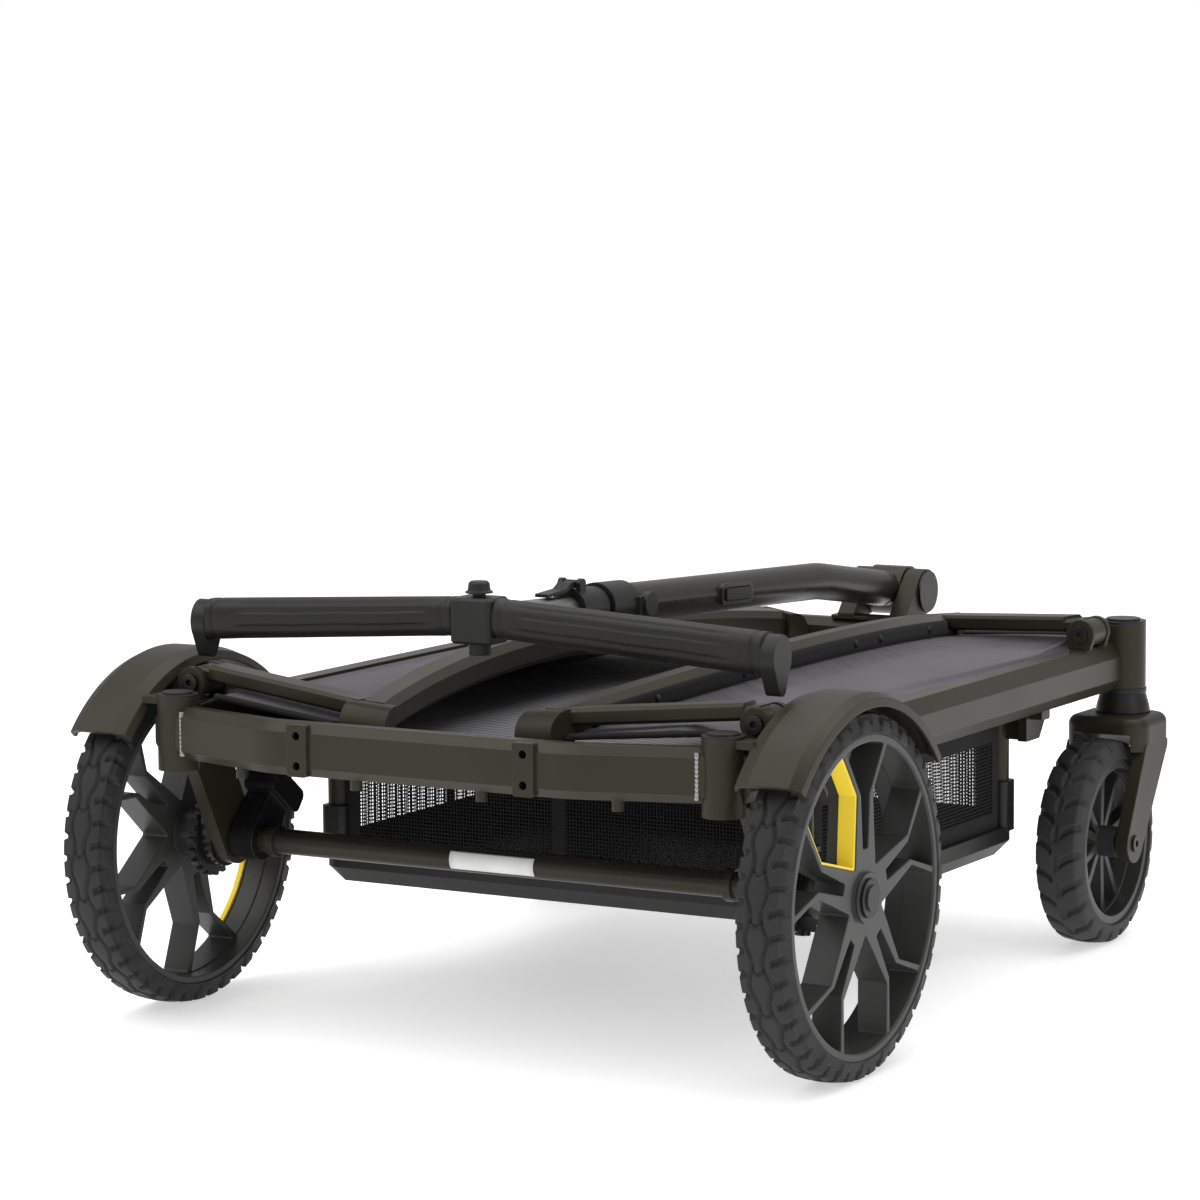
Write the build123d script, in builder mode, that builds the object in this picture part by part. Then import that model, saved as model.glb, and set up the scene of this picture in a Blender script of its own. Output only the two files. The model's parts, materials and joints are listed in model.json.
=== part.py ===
from build123d import *
from math import cos, radians, sin
import os

os.makedirs("parts", exist_ok=True)

# A folding stroller wagon, stored folded: four wheels, a tube frame with a foot well, two side
# walls folded inwards over the floor, and a telescopic T-handle folded back over the walls.
# +X is the wagon's right, +Y its front, +Z up. The origin is on the ground, in the middle.

# ---------------------------------------------------------------- driving dimensions, in mm
rear_axle_y = -287.0
wheelbase = 555.5
front_axle_y = rear_axle_y + wheelbase

rear_wheel_r = 136.0
rear_wheel_width = 43.0
rear_track_half = 295.0
rear_rim_r = 119.4

front_wheel_r = 87.0
front_wheel_width = 44.0
front_rim_r = 70.0
caster_x = 256.0
caster_trail = 58.5
kingpin_y = front_axle_y + caster_trail

rail_outer_x = 262.0
rail_inner_x = 238.0
rail_top_z = 252.0
rail_bottom_z = 211.5

rear_socket_x = 240.0
rear_socket_y = rear_axle_y - 79.0
rear_socket_r = 16.0
front_socket_r = 19.5
front_cap_z = 267.0
kingpin_r = 8.0
cross_bar_depth = 24.0
rear_bar_y = rear_axle_y - 110.0
front_bar_y = kingpin_y + 41.0
bar_bend_x = 130.0

wall_pivot_x = 249.4
wall_pivot_z = 265.0
wall_rear_pivot_y = rear_axle_y - 30.5
wall_front_pivot_y = rear_axle_y + 554.0
wall_rear_corner_y = rear_axle_y - 46.0
wall_front_corner_y = rear_axle_y + 612.0
wall_height = 169.0
wall_dip = 38.0
wall_bow = 15.0
wall_tilts = {"left": 6.5, "right": 4.8}

handle_pivot_y = rear_axle_y + 688.0
handle_pivot_z = 275.5
hub_y = rear_axle_y - 21.6
hub_z = 325.0
tube_slope = -0.0475
tube_bend_y = rear_axle_y + 536.0

well_half_x = 222.0
well_rear_y = rear_axle_y + 90.0
well_front_y = rear_axle_y + 466.0
well_bottom_z = 87.0
well_post_x = 211.0

running_gap = 0.05
free_gap = 0.5

SIDES = (("left", -1), ("right", 1))


# ---------------------------------------------------------------- frame: sockets, rails, bars
with BuildPart() as frame_sockets:
    with BuildSketch(Plane.XY.offset(201.8)):
        with Locations((-rear_socket_x, rear_socket_y), (rear_socket_x, rear_socket_y)):
            Circle(rear_socket_r)
            Circle(rear_socket_r - 3.5, mode=Mode.SUBTRACT)
    extrude(amount=57.0)
    with BuildSketch(Plane.XY.offset(rail_bottom_z)):
        with Locations((-caster_x, kingpin_y), (caster_x, kingpin_y)):
            Circle(front_socket_r)
            Circle(kingpin_r + running_gap, mode=Mode.SUBTRACT)
    extrude(amount=front_cap_z - rail_bottom_z)
frame_sockets.part.label = "frame_sockets"
export_step(frame_sockets.part, "parts/frame_sockets.step")

# Solid outlines of the sockets, which trim the tubes that are welded to them.
with BuildPart() as socket_outlines:
    with BuildSketch(Plane.XY.offset(190.0)):
        with Locations((-rear_socket_x, rear_socket_y), (rear_socket_x, rear_socket_y)):
            Circle(rear_socket_r)
        with Locations((-caster_x, kingpin_y), (caster_x, kingpin_y)):
            Circle(front_socket_r)
    extrude(amount=90.0)

# Hexagon-like rail: flat inner face, and an outer face with slanted top and bottom facets.
for side, sx in SIDES:
    with BuildPart() as side_rail:
        with BuildSketch(Plane.XZ.offset(-rear_socket_y)):
            with BuildLine():
                Polyline(
                    (sx * rail_inner_x, rail_bottom_z),
                    (sx * (rail_outer_x - 6.0), rail_bottom_z),
                    (sx * rail_outer_x, rail_bottom_z + 9.5),
                    (sx * rail_outer_x, rail_top_z - 12.0),
                    (sx * (rail_outer_x - 8.0), rail_top_z),
                    (sx * rail_inner_x, rail_top_z),
                    close=True,
                )
            make_face()
        extrude(amount=-(kingpin_y - rear_socket_y - 10.0))
        add(socket_outlines.part, mode=Mode.SUBTRACT)
    side_rail.part.label = f"side_rail_{side}"
    export_step(side_rail.part, f"parts/side_rail_{side}.step")

bar_height = rail_top_z - rail_bottom_z
bar_mid_z = (rail_top_z + rail_bottom_z) / 2


def cross_bar(end_x, end_y, mid_y):
    """A tube from socket to socket, swept out in the middle, with facets on both long faces."""
    with BuildPart() as bar:
        with BuildLine() as path:
            FilletPolyline(
                (-end_x, end_y, bar_mid_z),
                (-bar_bend_x, mid_y, bar_mid_z),
                (bar_bend_x, mid_y, bar_mid_z),
                (end_x, end_y, bar_mid_z),
                radius=70.0,
            )
        with BuildSketch(Plane(origin=path.line @ 0, x_dir=(0, 0, 1), z_dir=path.line % 0)):
            Rectangle(bar_height, cross_bar_depth)
            chamfer(vertices(), length=7.0)
        sweep(path=path.line)
        add(socket_outlines.part, mode=Mode.SUBTRACT)
    return bar.part


plate_x = 99.0
plate_hole_r = 3.25
plate_hole_rise = 11.4
plate_face_y = rear_bar_y - cross_bar_depth / 2 - 2.5

with BuildPart() as rear_crossbar:
    add(cross_bar(rear_socket_x, rear_socket_y, rear_bar_y))
    with BuildSketch(Plane.XZ.offset(-plate_face_y)):
        with Locations((-plate_x, bar_mid_z), (plate_x, bar_mid_z)):
            RectangleRounded(18.0, bar_height - 1.0, 2.5)
    extrude(amount=-8.0)
    with BuildSketch(Plane.XZ.offset(-plate_face_y)):
        for x in (-plate_x, plate_x):
            for rise in (-plate_hole_rise, plate_hole_rise):
                with Locations((x, bar_mid_z + rise)):
                    Circle(plate_hole_r)
    extrude(amount=-10.0, mode=Mode.SUBTRACT)
    # pegs that hang the rear fabric, under the bar
    for x in (-165.0, -55.0, 55.0, 165.0):
        with BuildSketch(Plane.XY.offset(rail_bottom_z + 1.0)):
            with Locations((x, rear_bar_y if abs(x) < bar_bend_x else rear_bar_y + 9.0)):
                Circle(4.5)
        extrude(amount=-9.0)
rear_crossbar.part.label = "rear_crossbar"
export_step(rear_crossbar.part, "parts/rear_crossbar.step")

with BuildPart() as front_crossbar:
    add(cross_bar(caster_x, kingpin_y, front_bar_y))
front_crossbar.part.label = "front_crossbar"
export_step(front_crossbar.part, "parts/front_crossbar.step")

with BuildPart() as socket_caps:
    with BuildSketch(Plane.XY.offset(258.8)):
        with Locations((-rear_socket_x, rear_socket_y), (rear_socket_x, rear_socket_y)):
            Circle(rear_socket_r)
    extrude(amount=2.2)
    with BuildSketch(Plane.XY.offset(261.0)):
        with Locations((-rear_socket_x, rear_socket_y), (rear_socket_x, rear_socket_y)):
            Circle(rear_socket_r - 4.0)
    extrude(amount=1.8)
    with BuildSketch(Plane.XY.offset(front_cap_z)):
        with Locations((-caster_x, kingpin_y), (caster_x, kingpin_y)):
            Circle(front_socket_r)
    extrude(amount=2.5)
    with BuildSketch(Plane.XY.offset(front_cap_z + 2.5)):
        with Locations((-caster_x, kingpin_y), (caster_x, kingpin_y)):
            Circle(front_socket_r - 5.0)
    extrude(amount=2.0)
socket_caps.part.label = "socket_caps"
export_step(socket_caps.part, "parts/socket_caps.step")

# ---------------------------------------------------------------- wall hinges on the side rails
cheek_t = 5.0
knuckle_w = 25.0
knuckle_r = 11.5
pin_r = 4.0
pivot_ys = (wall_rear_pivot_y, wall_front_pivot_y)

with BuildPart() as hinge_brackets:
    for sx in (-1, 1):
        for pivot_y in pivot_ys:
            for cheek_y in (pivot_y - knuckle_w / 2 - free_gap, pivot_y + knuckle_w / 2 + free_gap + cheek_t):
                with BuildSketch(Plane.XZ.offset(-cheek_y)):
                    with Locations((sx * wall_pivot_x, wall_pivot_z)):
                        Circle(12.5)
                    with Locations((sx * wall_pivot_x, rail_top_z + 4.0)):
                        Rectangle(18.0, 8.0)
                    make_hull()
                    with Locations((sx * wall_pivot_x, wall_pivot_z)):
                        Circle(pin_r, mode=Mode.SUBTRACT)
                extrude(amount=cheek_t)
hinge_brackets.part.label = "hinge_brackets"
export_step(hinge_brackets.part, "parts/hinge_brackets.step")

# ---------------------------------------------------------------- floor, mat and foot well
floor_t = 3.0
mat_t = 4.0
with BuildPart() as floor_panels:
    with BuildSketch(Plane.XY.offset(rail_bottom_z)):
        with BuildLine():
            Polyline(
                (-216.0, rear_bar_y + 40.0), (-bar_bend_x, rear_bar_y + 18.0),
                (bar_bend_x, rear_bar_y + 18.0), (216.0, rear_bar_y + 40.0),
                (216.0, rear_socket_y + 20.0), (rail_inner_x, rear_socket_y + 20.0),
                (rail_inner_x, well_rear_y + 8.0), (-rail_inner_x, well_rear_y + 8.0),
                (-rail_inner_x, rear_socket_y + 20.0), (-216.0, rear_socket_y + 20.0), close=True,
            )
        make_face()
        with Locations((0, (well_front_y - 8.0 + kingpin_y - 26.0) / 2)):
            Rectangle(2 * rail_inner_x, kingpin_y - 26.0 - well_front_y + 8.0)
    extrude(amount=floor_t)
floor_panels.part.label = "floor_panels"
export_step(floor_panels.part, "parts/floor_panels.step")

mat_width = 2 * rail_inner_x - 4.0
mat_rear_y = rear_bar_y + 44.0
mat_front_y = well_front_y + 6.0
with BuildPart() as floor_mat:
    with BuildSketch(Plane.XY.offset(rail_bottom_z + floor_t)):
        with Locations((0, (mat_rear_y + mat_front_y) / 2)):
            RectangleRounded(mat_width, mat_front_y - mat_rear_y, 12.0)
    extrude(amount=mat_t)
floor_mat.part.label = "floor_mat"
export_step(floor_mat.part, "parts/floor_mat.step")

post_ys = (well_rear_y + 10.0, well_front_y - 10.0)
post_r = 9.0
post_foot_z = 146.0
tie_tube_h = 8.0
with BuildPart() as footwell_frame:
    # upright tubes at the corners, and the tubes across the top that join them under the rails
    with BuildSketch(Plane.XY.offset(post_foot_z)):
        for post_y in post_ys:
            with Locations((-well_post_x, post_y), (well_post_x, post_y)):
                Circle(post_r)
    extrude(amount=rail_bottom_z - 4.0 - post_foot_z)
    for post_y in post_ys:
        with BuildSketch(Plane.YZ.offset(-rail_outer_x + 8.0)):
            with Locations((post_y, rail_bottom_z - tie_tube_h / 2)):
                RectangleRounded(16.0, tie_tube_h, 2.0)
        extrude(amount=2 * (rail_outer_x - 8.0))
    # gussets that brace each post against the side rail
    for sx in (-1, 1):
        for post_y, toward in zip(post_ys, (-1, 1)):
            with BuildSketch(Plane.YZ.offset(sx * rail_inner_x - 4.0)):
                with BuildLine():
                    Polyline(
                        (post_y - toward * 12.0, rail_bottom_z),
                        (post_y + toward * 36.0, rail_bottom_z),
                        (post_y + toward * 30.0, rail_bottom_z - 5.0),
                        (post_y + toward * 14.0, rail_bottom_z - 26.0),
                        (post_y - toward * 12.0, rail_bottom_z - 26.0),
                        close=True,
                    )
                make_face()
            extrude(amount=8.0)
            with BuildSketch(Plane.XY.offset(rail_bottom_z - 26.0)):
                with Locations((sx * (well_post_x + rail_inner_x) / 2, post_y)):
                    Rectangle(rail_inner_x - well_post_x, 8.0)
            extrude(amount=26.0)
footwell_frame.part.label = "footwell_frame"
export_step(footwell_frame.part, "parts/footwell_frame.step")

well_mid_y = (well_rear_y + well_front_y) / 2
well_length = well_front_y - well_rear_y
tray_lip_z = 112.0
with BuildPart() as footwell_tray:
    with BuildSketch(Plane.XY.offset(well_bottom_z)):
        with Locations((0, well_mid_y)):
            RectangleRounded(2 * well_half_x, well_length, 14.0)
    extrude(amount=tray_lip_z - well_bottom_z)
    chamfer(faces().sort_by(Axis.Z)[0].edges(), length=13.0)
    with BuildSketch(Plane.XY.offset(well_bottom_z + 6.0)):
        with Locations((0, well_mid_y)):
            RectangleRounded(2 * well_half_x - 36.0, well_length - 36.0, 8.0)
    extrude(amount=40.0, mode=Mode.SUBTRACT)
    # corner sleeves that the posts stand in
    with BuildSketch(Plane.XY.offset(tray_lip_z - 4.0)):
        for post_y in post_ys:
            with Locations((-well_post_x, post_y), (well_post_x, post_y)):
                RectangleRounded(23.0, 23.0, 6.0)
    extrude(amount=42.0)
    with BuildSketch(Plane.XY.offset(post_foot_z)):
        for post_y in post_ys:
            with Locations((-well_post_x, post_y), (well_post_x, post_y)):
                Circle(post_r)
    extrude(amount=10.0, mode=Mode.SUBTRACT)
footwell_tray.part.label = "footwell_tray"
export_step(footwell_tray.part, "parts/footwell_tray.step")

mesh_inset = 26.0
with BuildPart() as footwell_mesh:
    with BuildSketch(Plane.XY.offset(tray_lip_z)):
        with Locations((0, well_mid_y)):
            RectangleRounded(2 * well_half_x - 12.0, well_length - 12.0, 6.0)
            RectangleRounded(2 * well_half_x - 16.0, well_length - 16.0, 4.0, mode=Mode.SUBTRACT)
        for post_y in post_ys:
            with Locations((-well_post_x, post_y), (well_post_x, post_y)):
                Rectangle(mesh_inset, mesh_inset, mode=Mode.SUBTRACT)
    extrude(amount=rail_bottom_z - tie_tube_h - 0.5 - tray_lip_z)
footwell_mesh.part.label = "footwell_mesh"
export_step(footwell_mesh.part, "parts/footwell_mesh.step")

# ---------------------------------------------------------------- rear axle, legs, fenders, brake
axle_tube_r = 10.0
stub_r = 6.0
leg_inner_x = 240.0
leg_outer_x = 251.0
hub_face_x = 317.0

with BuildPart() as rear_axle_tube:
    with BuildSketch(Plane.YZ.offset(-leg_outer_x)):
        with Locations((rear_axle_y, rear_wheel_r)):
            Circle(axle_tube_r)
    extrude(amount=2 * leg_outer_x)
    with BuildSketch(Plane.YZ.offset(-(hub_face_x - 5.0))):
        with Locations((rear_axle_y, rear_wheel_r)):
            Circle(stub_r)
    extrude(amount=2 * (hub_face_x - 5.0))
    # shoulders beside the legs
    for sx in (-1, 1):
        with BuildSketch(Plane.YZ.offset(sx * 208.0)):
            with Locations((rear_axle_y, rear_wheel_r)):
                Circle(axle_tube_r + 2.5)
        extrude(amount=-sx * 7.0)
rear_axle_tube.part.label = "rear_axle_tube"
export_step(rear_axle_tube.part, "parts/rear_axle_tube.step")

with BuildPart() as rear_legs:
    for sx in (-1, 1):
        with BuildSketch(Plane.YZ.offset(sx * leg_inner_x)):
            with Locations((rear_axle_y, rear_wheel_r)):
                Circle(21.0)
            with Locations((rear_axle_y - 36.0, rail_bottom_z - 3.0)):
                Rectangle(46.0, 6.0)
            make_hull()
            with Locations((rear_axle_y, rear_wheel_r)):
                Circle(axle_tube_r, mode=Mode.SUBTRACT)
        extrude(amount=sx * (leg_outer_x - leg_inner_x))
rear_legs.part.label = "rear_legs"
export_step(rear_legs.part, "parts/rear_legs.step")

fender_inner_r = 146.0
fender_outer_r = 150.0
fender_inner_x = 266.0
fender_outer_x = 320.0
fender_front_angle = 37.0
fender_rear_angle = 140.0

for side, sx in SIDES:
    with BuildPart() as fender:
        # crowned band with a rolled outer lip, turned about the wheel's axle
        with BuildSketch(Plane.XY.offset(rear_wheel_r)):
            with BuildLine():
                Polyline(
                    (sx * fender_inner_x, rear_axle_y + fender_inner_r - 6.0),
                    (sx * (fender_inner_x + 4.0), rear_axle_y + fender_inner_r - 1.0),
                    (sx * (fender_inner_x + 14.0), rear_axle_y + fender_inner_r + 1.0),
                    (sx * (fender_outer_x - 12.0), rear_axle_y + fender_inner_r + 1.0),
                    (sx * (fender_outer_x - 4.0), rear_axle_y + fender_inner_r - 2.0),
                    (sx * (fender_outer_x - 3.0), rear_axle_y + fender_inner_r - 6.5),
                    (sx * fender_outer_x, rear_axle_y + fender_inner_r - 6.5),
                    (sx * (fender_outer_x - 0.5), rear_axle_y + fender_outer_r - 4.0),
                    (sx * (fender_outer_x - 9.0), rear_axle_y + fender_outer_r),
                    (sx * (fender_inner_x + 12.0), rear_axle_y + fender_outer_r),
                    (sx * (fender_inner_x + 1.0), rear_axle_y + fender_outer_r - 3.0),
                    (sx * (fender_inner_x - 2.0), rear_axle_y + fender_inner_r - 6.0),
                    close=True,
                )
            make_face()
        revolve(
            axis=Axis((0, rear_axle_y, rear_wheel_r), (1, 0, 0)),
            revolution_arc=fender_rear_angle - fender_front_angle,
        )
    turned = fender.part.rotate(Axis((0, rear_axle_y, rear_wheel_r), (1, 0, 0)), fender_front_angle)
    with BuildPart() as fender_with_arm:
        add(turned)
        # arm that bolts the fender to the rear socket
        with BuildSketch(Plane.YZ.offset(sx * (rear_socket_x + 8.0))):
            with Locations((rear_socket_y, rail_top_z + 3.6)):
                Rectangle(16.0, 6.0)
        extrude(amount=sx * (fender_inner_x + 2.5 - rear_socket_x - 8.0))
        add(socket_outlines.part, mode=Mode.SUBTRACT)
    fender_with_arm.part.label = f"fender_{side}"
    export_step(fender_with_arm.part, f"parts/fender_{side}.step")

# The lock pins stand opposite a gap between two teeth of the wheel's ring.
lock_teeth = 20
lock_ring_r = 29.0
lock_pin_r = 1.9
lock_pin_angle = radians(6.5 * 360.0 / lock_teeth)
lock_pin_y = rear_axle_y + (lock_ring_r + 2.5) * cos(lock_pin_angle)
lock_pin_z = rear_wheel_r + (lock_ring_r + 2.5) * sin(lock_pin_angle)
housing_t = 9.0

with BuildPart() as brake_housings:
    for sx in (-1, 1):
        with BuildSketch(Plane.YZ.offset(sx * (leg_outer_x + free_gap))):
            with Locations((rear_axle_y, rear_wheel_r)):
                Circle(24.0)
            with Locations((rear_axle_y - 14.0, rear_wheel_r + 30.0)):
                RectangleRounded(18.0, 24.0, 5.0)
            make_hull()
            with Locations((rear_axle_y, rear_wheel_r)):
                Circle(stub_r, mode=Mode.SUBTRACT)
            with Locations((lock_pin_y, lock_pin_z)):
                Circle(lock_pin_r + running_gap, mode=Mode.SUBTRACT)
        extrude(amount=sx * housing_t)
brake_housings.part.label = "brake_housings"
export_step(brake_housings.part, "parts/brake_housings.step")

for side, sx in SIDES:
    with BuildPart() as brake_pin:
        with BuildSketch(Plane.YZ.offset(sx * (leg_outer_x + 1.5))):
            with Locations((lock_pin_y, lock_pin_z)):
                Circle(lock_pin_r)
        extrude(amount=sx * housing_t)
    brake_pin.part.label = f"brake_pin_{side}"
    export_step(brake_pin.part, f"parts/brake_pin_{side}.step")

# Foot pedal that turns on the axle tube, inboard of the left leg.
with BuildPart() as brake_pedal:
    with BuildSketch(Plane.YZ.offset(-238.5)):
        with Locations((rear_axle_y, rear_wheel_r)):
            Circle(17.0)
        with Locations((rear_axle_y + 26.0, rear_wheel_r + 34.0)):
            Circle(13.0)
        make_hull()
        with Locations((rear_axle_y, rear_wheel_r)):
            Circle(axle_tube_r + running_gap, mode=Mode.SUBTRACT)
    extrude(amount=22.0)
    with BuildSketch(Plane.YZ.offset(-238.5)):
        with Locations(Location((rear_axle_y + 27.0, rear_wheel_r + 36.0), -38.0)):
            RectangleRounded(44.0, 20.0, 6.0)
    extrude(amount=28.0)
brake_pedal.part.label = "brake_pedal"
export_step(brake_pedal.part, "parts/brake_pedal.step")


# ---------------------------------------------------------------- wheels
def spoke_window(tip_r, bend_r, rim_r, bend_half, rim_half):
    """Outline of a window that is a point at the hub, widest at the bend, and open to the rim."""
    bend = Vector(bend_r * cos(bend_half), bend_r * sin(bend_half))
    rim = Vector(rim_r * cos(rim_half), rim_r * sin(rim_half))
    with BuildSketch() as window:
        with BuildLine():
            Polyline((rim.X, rim.Y), (bend.X, bend.Y), (tip_r, 0), (bend.X, -bend.Y), (rim.X, -rim.Y))
            ThreePointArc((rim.X, -rim.Y), (rim_r, 0), (rim.X, rim.Y))
        make_face()
        fillet(window.vertices(), radius=1.8)
    return window.sketch


spoke_count = 5
web_outer_x = 314.0
web_depth = 24.0
accent_depths = {"left": 4.5, "right": 13.5}
rim_wall = 5.0
rear_hub_r = 19.0
hub_cap_r = 14.7
window_r = rear_rim_r - rim_wall - 0.7
big_window = spoke_window(27.0, 78.0, window_r, radians(27.0), radians(18.0))
accent_hole = offset(big_window, amount=-2.0, mode=Mode.PRIVATE)
# the gap between two windows' ribs, from near the hub out to the rim
gap_root = (36.0, 4.5)
gap_waist = (76.0, 7.4)
gap_rim = (window_r * cos(radians(15.6)), window_r * sin(radians(15.6)))
with BuildSketch() as rib_gap_sketch:
    with BuildLine():
        Polyline(
            gap_rim, gap_waist, gap_root, (gap_root[0], -gap_root[1]), (gap_waist[0], -gap_waist[1]),
            (gap_rim[0], -gap_rim[1]),
        )
        ThreePointArc((gap_rim[0], -gap_rim[1]), (window_r, 0), gap_rim)
    make_face()
    fillet(rib_gap_sketch.vertices(), radius=1.5)
rib_gap = rib_gap_sketch.sketch
rim_turns = {"left": 178.0, "right": 126.0}
accent_turns = {"left": -38.0, "right": 126.0}


def wheel_plane(x):
    """Sketch plane square to the rear axle at the given x, with the wheel's centre as origin."""
    return Plane(origin=(x, rear_axle_y, rear_wheel_r), x_dir=(0, 1, 0), z_dir=(1, 0, 0))


for side, sx in SIDES:
    inner_x = rear_track_half - rear_wheel_width / 2
    outer_x = rear_track_half + rear_wheel_width / 2
    with BuildPart() as rear_tyre:
        with BuildSketch(Plane.XY.offset(rear_wheel_r)):
            with BuildLine():
                Polyline(
                    (sx * (inner_x + 1.0), rear_axle_y + rear_rim_r),
                    (sx * inner_x, rear_axle_y + rear_rim_r + 7.0),
                    (sx * (inner_x + 5.0), rear_axle_y + rear_wheel_r - 2.5),
                    (sx * (inner_x + 13.0), rear_axle_y + rear_wheel_r),
                    (sx * (outer_x - 13.0), rear_axle_y + rear_wheel_r),
                    (sx * (outer_x - 5.0), rear_axle_y + rear_wheel_r - 2.5),
                    (sx * outer_x, rear_axle_y + rear_rim_r + 7.0),
                    (sx * (outer_x - 1.0), rear_axle_y + rear_rim_r),
                    close=True,
                )
            make_face()
        revolve(axis=Axis((0, rear_axle_y, rear_wheel_r), (1, 0, 0)))
    rear_tyre.part.label = f"rear_tyre_{side}"
    export_step(rear_tyre.part, f"parts/rear_tyre_{side}.step")

    with BuildPart() as rear_rim:
        with BuildSketch(wheel_plane(sx * (inner_x + 1.5))):
            Circle(rear_rim_r)
            Circle(rear_rim_r - rim_wall, mode=Mode.SUBTRACT)
        extrude(amount=sx * (rear_wheel_width - 3.0))
        with BuildSketch(wheel_plane(sx * (web_outer_x - web_depth))):
            Circle(rear_rim_r - rim_wall / 2)
            for turn in range(spoke_count):
                centre = rim_turns[side] + turn * 360.0 / spoke_count
                add(big_window.rotate(Axis.Z, centre), mode=Mode.SUBTRACT)
                add(rib_gap.rotate(Axis.Z, centre + 180.0 / spoke_count), mode=Mode.SUBTRACT)
        extrude(amount=sx * web_depth)
        with BuildSketch(wheel_plane(sx * (inner_x + 2.0))):
            Circle(rear_hub_r)
        extrude(amount=sx * (hub_face_x - inner_x - 2.0))
        with BuildSketch(wheel_plane(sx * (inner_x + 2.0))):
            Circle(stub_r + running_gap)
        extrude(amount=sx * (hub_face_x - inner_x - 6.0), mode=Mode.SUBTRACT)
    rear_rim.part.label = f"rear_rim_{side}"
    export_step(rear_rim.part, f"parts/rear_rim_{side}.step")

    # bright liner inside one spoke window
    with BuildPart() as rear_accent:
        with BuildSketch(wheel_plane(sx * (web_outer_x - 1.0 - accent_depths[side]))):
            add(big_window.rotate(Axis.Z, accent_turns[side]))
            add(accent_hole.rotate(Axis.Z, accent_turns[side]), mode=Mode.SUBTRACT)
        extrude(amount=sx * accent_depths[side])
    rear_accent.part.label = f"rear_accent_{side}"
    export_step(rear_accent.part, f"parts/rear_accent_{side}.step")

    with BuildPart() as hub_cap:
        with BuildSketch(wheel_plane(sx * hub_face_x)):
            Circle(hub_cap_r)
        extrude(amount=sx * 2.2)
        with BuildSketch(wheel_plane(sx * (hub_face_x + 2.2))):
            Circle(hub_cap_r - 5.0)
        extrude(amount=sx * 1.5)
    hub_cap.part.label = f"hub_cap_{side}"
    export_step(hub_cap.part, f"parts/hub_cap_{side}.step")

    # toothed ring that the brake locks
    with BuildPart() as brake_disc:
        with BuildSketch(wheel_plane(sx * (leg_outer_x + 11.0))):
            Circle(lock_ring_r)
            with PolarLocations(lock_ring_r, lock_teeth):
                RectangleRounded(7.0, 4.5, 1.0)
            Circle(stub_r + running_gap, mode=Mode.SUBTRACT)
        extrude(amount=sx * 6.0)
        with BuildSketch(wheel_plane(sx * (leg_outer_x + 17.0))):
            Circle(18.0)
            Circle(stub_r + running_gap, mode=Mode.SUBTRACT)
        extrude(amount=sx * (inner_x + 2.0 - leg_outer_x - 17.0))
    brake_disc.part.label = f"brake_disc_{side}"
    export_step(brake_disc.part, f"parts/brake_disc_{side}.step")


# ---------------------------------------------------------------- front casters
def front_plane(x):
    """Sketch plane square to the front axle at the given x, with the wheel's centre as origin."""
    return Plane(origin=(x, front_axle_y, front_wheel_r), x_dir=(0, 1, 0), z_dir=(1, 0, 0))


fork_gap_half = front_wheel_width / 2 + 3.5
fork_leg_t = 11.0
fork_foot_r = 16.5
front_axle_r = 5.0
crown_bottom_z = 162.0
crown_top_z = 190.5
crown_front_y = kingpin_y + 24.0
crown_length = 70.0
arch_r = front_wheel_r + 3.5
with BuildPart() as caster_cups:
    for sx in (-1, 1):
        with BuildSketch(Plane.XZ.offset(-kingpin_y)):
            with BuildLine():
                Polyline(
                    (sx * caster_x + kingpin_r + running_gap, crown_top_z + free_gap),
                    (sx * caster_x + 23.5, crown_top_z + free_gap),
                    (sx * caster_x + 22.5, crown_top_z + 6.0),
                    (sx * caster_x + front_socket_r, rail_bottom_z - 4.0),
                    (sx * caster_x + front_socket_r + 0.8, rail_bottom_z - 3.5),
                    (sx * caster_x + front_socket_r + 0.8, rail_bottom_z),
                    (sx * caster_x + kingpin_r + running_gap, rail_bottom_z),
                    close=True,
                )
            make_face()
        revolve(axis=Axis((sx * caster_x, kingpin_y, 0), (0, 0, 1)))
caster_cups.part.label = "caster_cups"
export_step(caster_cups.part, "parts/caster_cups.step")

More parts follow.
